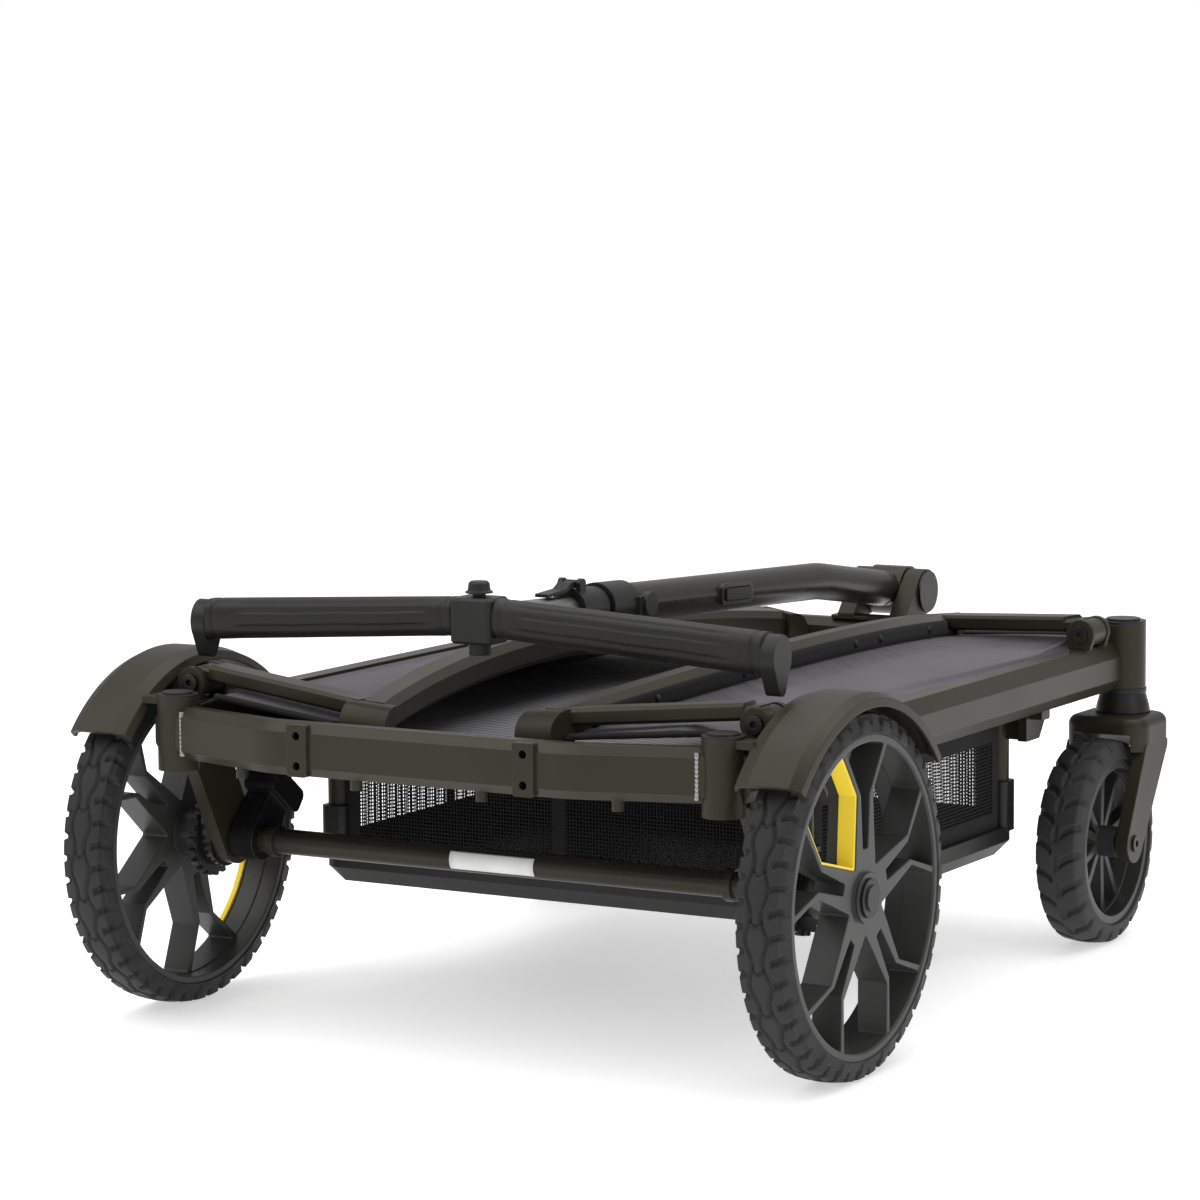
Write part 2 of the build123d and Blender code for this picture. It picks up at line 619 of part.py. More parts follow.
for side, sx in SIDES:
    x0 = sx * caster_x
    with BuildPart() as caster_fork:
        with BuildSketch(Plane.XY.offset(crown_bottom_z)):
            with Locations((x0, crown_front_y - crown_length / 2)):
                RectangleRounded(2 * (fork_gap_half + fork_leg_t), crown_length, 18.0)
        extrude(amount=crown_top_z - crown_bottom_z)
        fillet(faces().sort_by(Axis.Z)[-1].edges(), radius=8.0)
        with BuildSketch(Plane.YZ.offset(x0 - fork_gap_half)):
            with Locations((front_axle_y, front_wheel_r)):
                Circle(arch_r)
        extrude(amount=2 * fork_gap_half, mode=Mode.SUBTRACT)
        for lx in (-fork_gap_half - fork_leg_t, fork_gap_half):
            with BuildSketch(Plane.YZ.offset(x0 + lx)):
                with Locations((front_axle_y, front_wheel_r)):
                    Circle(fork_foot_r)
                with Locations((kingpin_y - 11.0, crown_bottom_z + 3.0)):
                    Rectangle(46.0, 6.0)
                make_hull()
                with Locations((front_axle_y, front_wheel_r)):
                    Circle(front_axle_r, mode=Mode.SUBTRACT)
            extrude(amount=fork_leg_t)
        with BuildSketch(Plane.XY.offset(crown_top_z)):
            with Locations((x0, kingpin_y)):
                Circle(kingpin_r)
        extrude(amount=266.0 - crown_top_z)
    caster_fork.part.label = f"caster_fork_{side}"
    export_step(caster_fork.part, f"parts/caster_fork_{side}.step")

    with BuildPart() as front_axle:
        with BuildSketch(front_plane(x0 - fork_gap_half - fork_leg_t)):
            Circle(front_axle_r)
        extrude(amount=2 * (fork_gap_half + fork_leg_t))
        for end in (-1, 1):
            with BuildSketch(front_plane(x0 + end * (fork_gap_half + fork_leg_t))):
                Circle(7.0)
                RegularPolygon(3.2, 6, mode=Mode.SUBTRACT)
            extrude(amount=end * 1.8)
    front_axle.part.label = f"front_axle_{side}"
    export_step(front_axle.part, f"parts/front_axle_{side}.step")

    half_w = front_wheel_width / 2
    with BuildPart() as front_tyre:
        with BuildSketch(Plane.XY.offset(front_wheel_r)):
            with BuildLine():
                Polyline(
                    (x0 - half_w + 2.0, front_axle_y + front_rim_r),
                    (x0 - half_w, front_axle_y + front_rim_r + 5.0),
                    (x0 - half_w + 6.0, front_axle_y + front_wheel_r - 3.0),
                    (x0 - half_w + 14.0, front_axle_y + front_wheel_r),
                    (x0 + half_w - 14.0, front_axle_y + front_wheel_r),
                    (x0 + half_w - 6.0, front_axle_y + front_wheel_r - 3.0),
                    (x0 + half_w, front_axle_y + front_rim_r + 5.0),
                    (x0 + half_w - 2.0, front_axle_y + front_rim_r),
                    close=True,
                )
            make_face()
        revolve(axis=Axis((0, front_axle_y, front_wheel_r), (1, 0, 0)))
    front_tyre.part.label = f"front_tyre_{side}"
    export_step(front_tyre.part, f"parts/front_tyre_{side}.step")

    with BuildPart() as front_rim:
        with BuildSketch(front_plane(x0 - half_w + 2.5)):
            Circle(front_rim_r)
            Circle(front_rim_r - 7.0, mode=Mode.SUBTRACT)
        extrude(amount=front_wheel_width - 5.0)
        with BuildSketch(front_plane(x0 - 6.0)):
            Circle(front_rim_r - 3.0)
            Circle(front_rim_r - 8.0, mode=Mode.SUBTRACT)
            for turn in range(spoke_count):
                for lean in (-15.0, 15.0):
                    with Locations(Rotation(0, 0, turn * 72.0 + lean)):
                        with Locations((38.0, 0)):
                            Rectangle(60.0, 6.0)
            Circle(13.0)
        extrude(amount=12.0)
        with BuildSketch(front_plane(x0 - half_w)):
            Circle(13.0)
        extrude(amount=front_wheel_width)
        with BuildSketch(front_plane(x0 - half_w)):
            Circle(front_axle_r + running_gap)
        extrude(amount=front_wheel_width, mode=Mode.SUBTRACT)
    front_rim.part.label = f"front_rim_{side}"
    export_step(front_rim.part, f"parts/front_rim_{side}.step")


# ---------------------------------------------------------------- side walls, folded inwards
rail_w = 28.0
rail_h = 26.0
post_w = 24.0
post_t = 13.0
post_low_n = 2.0
post_root_u = 17.0
corner_w = 37.0
corner_out = 26.0
corner_top_n = 14.5
corner_bottom_n = -16.0
corner_round = 19.0
fabric_t = 3.0
rear_post_end_y = wall_rear_corner_y + 4.0
front_post_end_y = wall_front_corner_y - 4.0


class WallFrame:
    """A wall's own directions: u away from its hinge line, y along the wagon, n out of its face."""

    def __init__(self, sx, tilt):
        self.hinge = Vector(sx * wall_pivot_x, 0, wall_pivot_z)
        self.u_dir = Vector(-sx * cos(radians(tilt)), 0, -sin(radians(tilt)))
        self.n_dir = Vector(-sx * sin(radians(tilt)), 0, cos(radians(tilt)))

    def at(self, u, y, n):
        return self.hinge + self.u_dir * u + Vector(0, y, 0) + self.n_dir * n

    def face(self, n):
        """Plane of the wall's face, at height n, whose local x is u and local y is the wagon's y."""
        return Plane(origin=self.at(0, 0, n), x_dir=self.u_dir, z_dir=self.u_dir.cross(Vector(0, 1, 0)))


def bar(start, end, width, height, flat):
    """A straight bar between two points: width lies along flat, height square to it."""
    along = (end - start).normalized()
    with BuildPart() as piece:
        with BuildSketch(Plane(origin=start, x_dir=flat, z_dir=along)):
            Rectangle(width, height)
            chamfer(vertices(), length=2.5)
        extrude(amount=(end - start).length)
    return piece.part


for side, sx in SIDES:
    wall = WallFrame(sx, wall_tilts[side])
    up = wall.n_dir
    rail_n = 15.0 - rail_h / 2
    rail_start = wall.at(wall_height, wall_rear_corner_y, rail_n)
    rail_mid = wall.at(wall_height - wall_dip, (wall_rear_corner_y + wall_front_corner_y) / 2,
                       rail_n + wall_bow)
    rail_end = wall.at(wall_height, wall_front_corner_y, rail_n)

    # top rail: a long shallow arc that dips towards the floor and bows outwards in the middle
    with BuildPart() as wall_rail:
        with BuildLine() as rail_path:
            ThreePointArc(rail_start, rail_mid, rail_end)
        with BuildSketch(Plane(origin=rail_start, x_dir=wall.u_dir, z_dir=rail_path.line % 0)):
            Rectangle(rail_w, rail_h)
            chamfer(vertices(), length=6.0)
        sweep(path=rail_path.line)
    wall_rail.part.label = f"wall_rail_{side}"
    export_step(wall_rail.part, f"parts/wall_rail_{side}.step")

    # cast corners that carry on from the rail's ends and turn down towards the floor
    with BuildPart() as wall_corners:
        for corner, tangent in ((rail_start, (rail_path.line % 0) * -1), (rail_end, rail_path.line % 1)):
            outward = (tangent - up * tangent.dot(up)).normalized()
            sideways = outward.cross(up)
            foot = corner - up * rail_n
            # its side view, x outwards along the rail and y up out of the wall, with a rounded top
            with BuildSketch(Plane(origin=foot, x_dir=outward, z_dir=outward.cross(up))):
                with BuildLine():
                    Polyline(
                        (corner_out - corner_round, corner_top_n), (0, corner_top_n),
                        (0, corner_bottom_n + 5.0), (4.0, corner_bottom_n), (corner_out, corner_bottom_n),
                        (corner_out, corner_top_n - corner_round),
                    )
                    TangentArc(
                        (corner_out, corner_top_n - corner_round), (corner_out - corner_round, corner_top_n),
                        tangent=(0, 1),
                    )
                make_face()
            extrude(amount=corner_w / 2, both=True)
        add(wall_rail.part, mode=Mode.SUBTRACT)
    wall_corners.part.label = f"wall_corners_{side}"
    export_step(wall_corners.part, f"parts/wall_corners_{side}.step")

    with BuildPart() as wall_posts:
        post_n = post_low_n + post_t / 2
        for pivot_y, corner_y in ((wall_rear_pivot_y, rear_post_end_y), (wall_front_pivot_y, front_post_end_y)):
            root = wall.at(post_root_u, pivot_y, post_n)
            tip = wall.at(wall_height - 10.0, corner_y, post_n)
            toward = (tip - root).normalized()
            flat = toward.cross(up)
            add(bar(root - toward * 4.0, tip, post_w, post_t, flat))
            # knuckle that turns on the hinge pin, with the lug that carries the post
            with BuildSketch(Plane.XZ.offset(-(pivot_y - knuckle_w / 2))):
                with Locations((sx * wall_pivot_x, wall_pivot_z)):
                    Circle(knuckle_r)
            extrude(amount=-knuckle_w)
            lug_root = wall.at(0, pivot_y, post_n - 1.0)
            add(bar(lug_root, lug_root + wall.u_dir * (post_root_u + 4.0), knuckle_w - 2.0, post_t - 3.0,
                    Vector(0, 1, 0)))
            with BuildSketch(Plane.XZ.offset(-(pivot_y - knuckle_w / 2 - 1.0))):
                with Locations((sx * wall_pivot_x, wall_pivot_z)):
                    Circle(pin_r + running_gap)
            extrude(amount=-(knuckle_w + 2.0), mode=Mode.SUBTRACT)
        add(wall_rail.part, mode=Mode.SUBTRACT)
        add(wall_corners.part, mode=Mode.SUBTRACT)
    wall_posts.part.label = f"wall_posts_{side}"
    export_step(wall_posts.part, f"parts/wall_posts_{side}.step")

    # fabric panel, stretched between the posts and the rail
    with BuildPart() as wall_fabric:
        with BuildSketch(wall.face(4.0)):
            with BuildLine():
                edge_u = wall_height - rail_w / 2 - 2.5
                mid_y = (wall_rear_corner_y + wall_front_corner_y) / 2
                rear_in = (24.0, wall_rear_pivot_y + post_w / 2 + 3.5)
                rear_out = (edge_u - 6.0, rear_post_end_y + post_w / 2 + 3.5)
                front_out = (edge_u - 6.0, front_post_end_y - post_w / 2 - 5.0)
                front_in = (24.0, wall_front_pivot_y - post_w / 2 - 3.5)
                Polyline(rear_out, rear_in, front_in, front_out)
                ThreePointArc(front_out, (edge_u - wall_dip, mid_y), rear_out)
            make_face()
        extrude(amount=fabric_t, both=True)
    wall_fabric.part.label = f"wall_fabric_{side}"
    export_step(wall_fabric.part, f"parts/wall_fabric_{side}.step")

# ---------------------------------------------------------------- handle yoke on the front bar
yoke_inner_x = 17.5
yoke_outer_x = 34.0
barrel_r = 22.0
yoke_pin_r = 6.0

with BuildPart() as handle_yoke:
    for sx in (-1, 1):
        with BuildSketch(Plane.YZ.offset(sx * yoke_inner_x)):
            with Locations((handle_pivot_y, handle_pivot_z)):
                Circle(20.0)
            with Locations((front_bar_y, rail_top_z + 2.5)):
                Rectangle(cross_bar_depth - 4.0, 5.0)
            make_hull()
            with Locations((handle_pivot_y, handle_pivot_z)):
                Circle(yoke_pin_r, mode=Mode.SUBTRACT)
        extrude(amount=sx * (yoke_outer_x - yoke_inner_x))
    with BuildSketch(Plane.XY.offset(rail_top_z)):
        with Locations((0, front_bar_y)):
            RectangleRounded(2 * yoke_outer_x + 16.0, cross_bar_depth - 4.0, 4.0)
    extrude(amount=3.0)
handle_yoke.part.label = "handle_yoke"
export_step(handle_yoke.part, "parts/handle_yoke.step")


def handle_plane(x):
    """Sketch plane square to the handle's hinge pin at the given x, with the pin as origin."""
    return Plane(origin=(x, handle_pivot_y, handle_pivot_z), x_dir=(0, 1, 0), z_dir=(1, 0, 0))


# The handle's pin with its two round covers, and the four screws that the side walls turn on.
with BuildPart() as hinge_pins:
    with BuildSketch(handle_plane(-yoke_outer_x)):
        Circle(yoke_pin_r)
    extrude(amount=2 * yoke_outer_x)
    for end in (-1, 1):
        with BuildSketch(handle_plane(end * yoke_outer_x)):
            Circle(18.5)
        extrude(amount=end * 2.5)
    for sx in (-1, 1):
        for pivot_y in pivot_ys:
            with BuildSketch(Plane.XZ.offset(-(pivot_y - 18.0))):
                with Locations((sx * wall_pivot_x, wall_pivot_z)):
                    Circle(pin_r)
            extrude(amount=-36.0)
            with BuildSketch(Plane.XZ.offset(-(pivot_y - 18.0))):
                with Locations((sx * wall_pivot_x, wall_pivot_z)):
                    Circle(7.0)
                    RegularPolygon(3.0, 6, mode=Mode.SUBTRACT)
            extrude(amount=3.0)
hinge_pins.part.label = "hinge_pins"
export_step(hinge_pins.part, "parts/hinge_pins.step")

# ---------------------------------------------------------------- telescopic handle
outer_r = 16.0
outer_bore_r = 13.9
mid_r = 13.5
mid_bore_r = 11.4
inner_r = 11.0
toward_hub = Vector(0, -1, -tube_slope).normalized()


def axis_point(y):
    """Point on the straight part of the handle's centre line."""
    return Vector(0, y, hub_z + tube_slope * (y - hub_y))


def tube_face(y):
    """Sketch plane square to the handle's centre line at y, looking towards the T-bar."""
    return Plane(origin=axis_point(y), x_dir=(1, 0, 0), z_dir=toward_hub)


outer_start_y = rear_axle_y + 158.0
mid_start_y = rear_axle_y + 118.0
inner_end_y = rear_axle_y + 420.0
mid_end_y = rear_axle_y + 490.0
pivot_point = Vector(0, handle_pivot_y, handle_pivot_z)
bend_point = axis_point(tube_bend_y)
bend_dir = (pivot_point - bend_point).normalized()
arm_end = pivot_point - bend_dir * 24.0
button_y = rear_axle_y + 357.0

with BuildPart() as handle_arm:
    with BuildLine() as arm_path:
        FilletPolyline(axis_point(outer_start_y), bend_point, arm_end, radius=160.0)
    with BuildSketch(tube_face(outer_start_y)):
        Circle(outer_r)
        Circle(outer_bore_r, mode=Mode.SUBTRACT)
    sweep(path=arm_path.line)
    # barrel and neck
    with BuildSketch(handle_plane(-yoke_inner_x + free_gap)):
        Circle(barrel_r)
    extrude(amount=2 * (yoke_inner_x - free_gap))
    with BuildSketch(Plane(origin=arm_end - bend_dir * 4.0, x_dir=(1, 0, 0), z_dir=bend_dir)):
        RectangleRounded(26.0, 30.0, 8.0)
    extrude(amount=20.0)
    with BuildSketch(handle_plane(-yoke_inner_x)):
        Circle(yoke_pin_r + running_gap)
    extrude(amount=2 * yoke_inner_x, mode=Mode.SUBTRACT)
    # button housing on the right flank
    with BuildSketch(Plane(origin=axis_point(button_y) + Vector(14.6, 0, 0), x_dir=toward_hub, z_dir=(1, 0, 0))):
        RectangleRounded(54.0, 18.0, 5.0)
        RectangleRounded(45.0, 11.0, 2.0, mode=Mode.SUBTRACT)
    extrude(amount=4.0)
    with BuildSketch(Plane(origin=axis_point(button_y) + Vector(12.0, 0, 0), x_dir=toward_hub, z_dir=(1, 0, 0))):
        RectangleRounded(45.0, 11.0, 2.0)
    extrude(amount=8.0, mode=Mode.SUBTRACT)
handle_arm.part.label = "handle_arm"
export_step(handle_arm.part, "parts/handle_arm.step")

with BuildPart() as arm_button:
    with BuildSketch(Plane(origin=axis_point(button_y) + Vector(16.8, 0, 0), x_dir=toward_hub, z_dir=(1, 0, 0))):
        RectangleRounded(44.0, 10.0, 1.5)
    extrude(amount=3.6)
arm_button.part.label = "arm_button"
export_step(arm_button.part, "parts/arm_button.step")

with BuildPart() as arm_collar:
    with BuildSketch(tube_face(outer_start_y + 34.0)):
        Circle(outer_r + 3.0)
        Circle(outer_r, mode=Mode.SUBTRACT)
    extrude(amount=34.0)
    with BuildSketch(tube_face(outer_start_y)):
        Circle(outer_r + 3.0)
        Circle(mid_r + 0.4, mode=Mode.SUBTRACT)
    extrude(amount=6.0)
    # round clamp boss on the right flank
    with BuildSketch(Plane.YZ.offset(outer_r + 1.5)):
        with Locations((outer_start_y + 44.0, axis_point(outer_start_y + 44.0).Z)):
            Circle(10.0)
    extrude(amount=6.5)
    with BuildSketch(Plane.YZ.offset(outer_r + 1.5)):
        with Locations((outer_start_y + 36.0, axis_point(outer_start_y + 36.0).Z)):
            Rectangle(14.0, 14.0)
    extrude(amount=3.5)
arm_collar.part.label = "arm_collar"
export_step(arm_collar.part, "parts/arm_collar.step")

with BuildPart() as mid_tube:
    with BuildSketch(tube_face(mid_end_y)):
        Circle(mid_r)
        Circle(mid_bore_r, mode=Mode.SUBTRACT)
    extrude(amount=(axis_point(mid_end_y) - axis_point(mid_start_y)).length)
mid_tube.part.label = "mid_tube"
export_step(mid_tube.part, "parts/mid_tube.step")

lever_pin = axis_point(mid_start_y - 2.0) + Vector(0, 0, mid_r + 6.6)
with BuildPart() as clamp_collar:
    with BuildSketch(tube_face(mid_start_y + 30.0)):
        Circle(mid_r + 3.0)
        Circle(mid_r, mode=Mode.SUBTRACT)
    extrude(amount=30.0)
    with BuildSketch(tube_face(mid_start_y)):
        Circle(mid_r + 3.0)
        Circle(inner_r + 0.4, mode=Mode.SUBTRACT)
    extrude(amount=8.0)
    for x in (-10.5, 6.5):
        with BuildSketch(Plane.YZ.offset(x)):
            with Locations((lever_pin.Y, lever_pin.Z)):
                Circle(4.5)
            with Locations((lever_pin.Y, lever_pin.Z - 7.0)):
                Rectangle(9.0, 6.0)
            make_hull()
        extrude(amount=4.0)
    with BuildSketch(Plane.YZ.offset(-8.0)):
        with Locations((lever_pin.Y, lever_pin.Z)):
            Circle(2.0)
    extrude(amount=16.0)
    with BuildSketch(tube_face(mid_start_y + 31.0)):
        Circle(mid_r)
    extrude(amount=31.2, mode=Mode.SUBTRACT)
    with BuildSketch(tube_face(mid_start_y + 1.0)):
        Circle(inner_r + 0.4)
    extrude(amount=20.0, mode=Mode.SUBTRACT)
clamp_collar.part.label = "clamp_collar"
export_step(clamp_collar.part, "parts/clamp_collar.step")

# Cranked lever that lies along the tube, hinged on the clamp collar: each corner is (behind, above) its pin.
lever_corners = (
    (0.0, 2.2), (11.0, 2.2), (19.0, -2.2), (46.0, -3.6), (46.0, -6.2), (18.0, -5.2), (9.5, -2.4), (0.0, -2.4),
)
with BuildPart() as clamp_lever:
    with BuildSketch(Plane.YZ.offset(-6.0)):
        with Locations((lever_pin.Y, lever_pin.Z)):
            Circle(3.3)
        with BuildLine():
            Polyline(*[(lever_pin.Y - behind, lever_pin.Z + above) for behind, above in lever_corners], close=True)
        make_face()
        with Locations((lever_pin.Y, lever_pin.Z)):
            Circle(2.0 + running_gap, mode=Mode.SUBTRACT)
    extrude(amount=12.0)
clamp_lever.part.label = "clamp_lever"
export_step(clamp_lever.part, "parts/clamp_lever.step")

hub_half_x = 18.0
hub_half_y = 15.0
hub_half_z = 17.5
knob_foot_z = hub_z + hub_half_z + 3.0
with BuildPart() as inner_tube:
    with BuildSketch(tube_face(inner_end_y)):
        Circle(inner_r)
        Circle(inner_r - 2.0, mode=Mode.SUBTRACT)
    extrude(amount=(axis_point(inner_end_y) - axis_point(hub_y + hub_half_y)).length)
inner_tube.part.label = "inner_tube"
export_step(inner_tube.part, "parts/inner_tube.step")

knob_r = 5.0
with BuildPart() as handle_hub:
    with BuildSketch(Plane.XY.offset(hub_z - hub_half_z)):
        with Locations((0, hub_y)):
            RectangleRounded(2 * hub_half_x, 2 * hub_half_y, 4.0)
    extrude(amount=2 * hub_half_z)
    chamfer(faces().sort_by(Axis.Z)[-1].edges() + faces().sort_by(Axis.Z)[0].edges(), length=2.0)
    with BuildSketch(Plane.XY.offset(hub_z - hub_half_z)):
        with Locations((0, hub_y)):
            Circle(8.5)
    extrude(amount=-9.0)
    with BuildSketch(Plane.XY.offset(hub_z + 2.0)):
        with Locations((0, hub_y)):
            Circle(knob_r + running_gap)
    extrude(amount=20.0, mode=Mode.SUBTRACT)
    add(inner_tube.part, mode=Mode.SUBTRACT)
handle_hub.part.label = "handle_hub"
export_step(handle_hub.part, "parts/handle_hub.step")

with BuildPart() as hub_knob:
    with BuildSketch(Plane.XY.offset(hub_z + 6.0)):
        with Locations((0, hub_y)):
            Circle(knob_r)
    extrude(amount=knob_foot_z - hub_z - 5.0)
    with BuildSketch(Plane.XZ.offset(-hub_y)):
        with BuildLine():
            Polyline(
                (0, knob_foot_z), (10.5, knob_foot_z), (10.5, knob_foot_z + 1.2), (8.8, knob_foot_z + 2.0),
                (8.0, knob_foot_z + 7.5), (6.5, knob_foot_z + 9.0), (0, knob_foot_z + 9.0), close=True,
            )
        make_face()
    revolve(axis=Axis((0, hub_y, 0), (0, 0, 1)))
hub_knob.part.label = "hub_knob"
export_step(hub_knob.part, "parts/hub_knob.step")

grip_outer_x = 246.0
grip_root_z = hub_z + 2.0
grip_tip_z = 313.0
with BuildPart() as handle_grips:
    for sx in (-1, 1):
        root = Vector(sx * hub_half_x, hub_y, grip_root_z)
        tip = Vector(sx * grip_outer_x, hub_y, grip_tip_z)
        with BuildSketch(Plane(origin=root, x_dir=(0, 1, 0), z_dir=(sx, 0, 0))):
            RectangleRounded(26.0, 28.0, 9.0)
        with BuildSketch(Plane(origin=tip, x_dir=(0, 1, 0), z_dir=(sx, 0, 0))):
            RectangleRounded(27.0, 32.0, 10.0)
        loft()
handle_grips.part.label = "handle_grips"
export_step(handle_grips.part, "parts/handle_grips.step")

with BuildPart() as grip_end_caps:
    for sx in (-1, 1):
        with BuildSketch(Plane(origin=(sx * grip_outer_x, hub_y, grip_tip_z), x_dir=(0, 1, 0), z_dir=(sx, 0, 0))):
            with Locations((0, -sx * 2.0)):
                Ellipse(14.0, 17.0)
            with Locations((0, -sx * 25.0)):
                Circle(5.5)
            make_hull()
        extrude(amount=12.0)
grip_end_caps.part.label = "grip_end_caps"
export_step(grip_end_caps.part, "parts/grip_end_caps.step")
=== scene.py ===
import json
from math import cos, pi, radians, sin

import bmesh
import bpy
import numpy as np
from mathutils import Matrix, Vector


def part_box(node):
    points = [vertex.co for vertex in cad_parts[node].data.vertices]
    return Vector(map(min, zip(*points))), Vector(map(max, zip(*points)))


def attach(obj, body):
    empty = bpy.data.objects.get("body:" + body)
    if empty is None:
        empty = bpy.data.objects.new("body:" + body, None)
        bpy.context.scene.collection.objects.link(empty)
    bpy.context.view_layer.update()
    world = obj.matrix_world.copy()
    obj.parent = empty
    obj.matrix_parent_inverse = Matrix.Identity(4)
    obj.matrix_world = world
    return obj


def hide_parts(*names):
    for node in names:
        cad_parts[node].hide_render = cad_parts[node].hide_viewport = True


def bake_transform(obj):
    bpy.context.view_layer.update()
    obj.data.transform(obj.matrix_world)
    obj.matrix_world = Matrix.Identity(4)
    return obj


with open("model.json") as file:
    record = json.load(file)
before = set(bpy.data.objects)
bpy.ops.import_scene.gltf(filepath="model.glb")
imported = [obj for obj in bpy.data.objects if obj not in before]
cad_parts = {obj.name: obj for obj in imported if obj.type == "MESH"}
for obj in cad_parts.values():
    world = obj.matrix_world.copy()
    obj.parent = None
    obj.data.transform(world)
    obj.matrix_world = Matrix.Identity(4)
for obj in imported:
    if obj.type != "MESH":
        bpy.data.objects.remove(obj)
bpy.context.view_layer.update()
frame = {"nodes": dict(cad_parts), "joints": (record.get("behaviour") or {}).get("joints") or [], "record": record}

# A folded stroller wagon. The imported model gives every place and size; this file adds the looks:
# materials, treaded tyres, sewn fabric, netting, grips, weld beads and small trim.

mm = 0.001
SIDES = (("left", -1), ("right", 1))


# ---------------------------------------------------------------- places taken from the frame
def middle(node):
    low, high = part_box(node)
    return (low + high) / 2


rear_axle = middle("rear_tyre_right")
hub_centre = middle("handle_hub")
joint_of = {joint["name"]: joint for joint in frame["joints"]}


# ---------------------------------------------------------------- camera, floor and light
# The view is three quarters from behind on the right, a little above the handle, through a long lens.
CAMERA_PLACE = (1.6229, -2.9228, 0.6963)
CAMERA_LOOK = (-0.4988, 0.8596, -0.1109)
CAMERA_ROLL = -0.0081
CAMERA_LENS = 123.05
CAMERA_SHIFT = (-0.0004, -0.0152)
FILL_LIGHT = 0.6
# Painted light: the floor glows, which lifts the shadow under the wagon.
FLOOR_GLOW = 0.5


def look_along(forward, roll):
    """Rotation of a camera that looks along forward, turned by roll about its own line of sight."""
    back = -Vector(forward).normalized()
    right = Vector((0, 0, 1)).cross(back).normalized()
    up = back.cross(right)
    tilt = Matrix.Rotation(roll, 3, back)
    return Matrix((tilt @ right, tilt @ up, back)).transposed().to_4x4()


def add_camera():
    data = bpy.data.cameras.new("camera")
    data.sensor_width = 36.0
    data.lens = CAMERA_LENS
    data.shift_x, data.shift_y = CAMERA_SHIFT
    data.clip_end = 50.0
    camera = bpy.data.objects.new("camera", data)
    camera.matrix_world = Matrix.Translation(CAMERA_PLACE) @ look_along(CAMERA_LOOK, CAMERA_ROLL)
    bpy.context.scene.collection.objects.link(camera)
    bpy.context.scene.camera = camera


def add_area_light(name, place, target, size, power, colour=(1, 1, 1)):
    data = bpy.data.lights.new(name, "AREA")
    data.shape = "RECTANGLE"
    data.size, data.size_y = size
    data.energy = power
    data.color = colour
    light = bpy.data.objects.new(name, data)
    light.location = place
    light.rotation_euler = (Vector(target) - Vector(place)).to_track_quat("-Z", "Y").to_euler()
    bpy.context.scene.collection.objects.link(light)


def add_studio():
    """A white backdrop, dimmer as a light than it looks, three soft lights and a pale floor."""
    world = bpy.data.worlds.new("studio")
    world.use_nodes = True
    tree = world.node_tree
    seen = tree.nodes["Background"]
    seen.inputs["Color"].default_value = (1.0, 1.0, 1.0, 1)
    fill = tree.nodes.new("ShaderNodeBackground")
    fill.inputs["Color"].default_value = (1.0, 1.0, 1.0, 1)
    fill.inputs["Strength"].default_value = FILL_LIGHT
    path = tree.nodes.new("ShaderNodeLightPath")
    choose = tree.nodes.new("ShaderNodeMixShader")
    tree.links.new(path.outputs["Is Camera Ray"], choose.inputs[0])
    tree.links.new(fill.outputs[0], choose.inputs[1])
    tree.links.new(seen.outputs[0], choose.inputs[2])
    tree.links.new(choose.outputs[0], tree.nodes["World Output"].inputs["Surface"])
    bpy.context.scene.world = world
    bpy.context.scene.view_settings.view_transform = "Standard"
    add_area_light("key", (-1.4, -1.6, 2.6), (0, 0, 0.2), (2.6, 2.6), 44)
    add_area_light("top", (0.2, 0.6, 3.0), (0, 0, 0.2), (3.4, 2.4), 56)
    add_area_light("side", (3.0, -0.6, 1.3), (0.1, 0, 0.2), (1.4, 2.2), 14)
    bpy.ops.mesh.primitive_grid_add(x_subdivisions=24, y_subdivisions=24, size=24.0, location=(0, 6.0, 0))
    floor = bpy.context.object
    floor.name = "studio_floor"
    floor.data.materials.append(floor_paint())


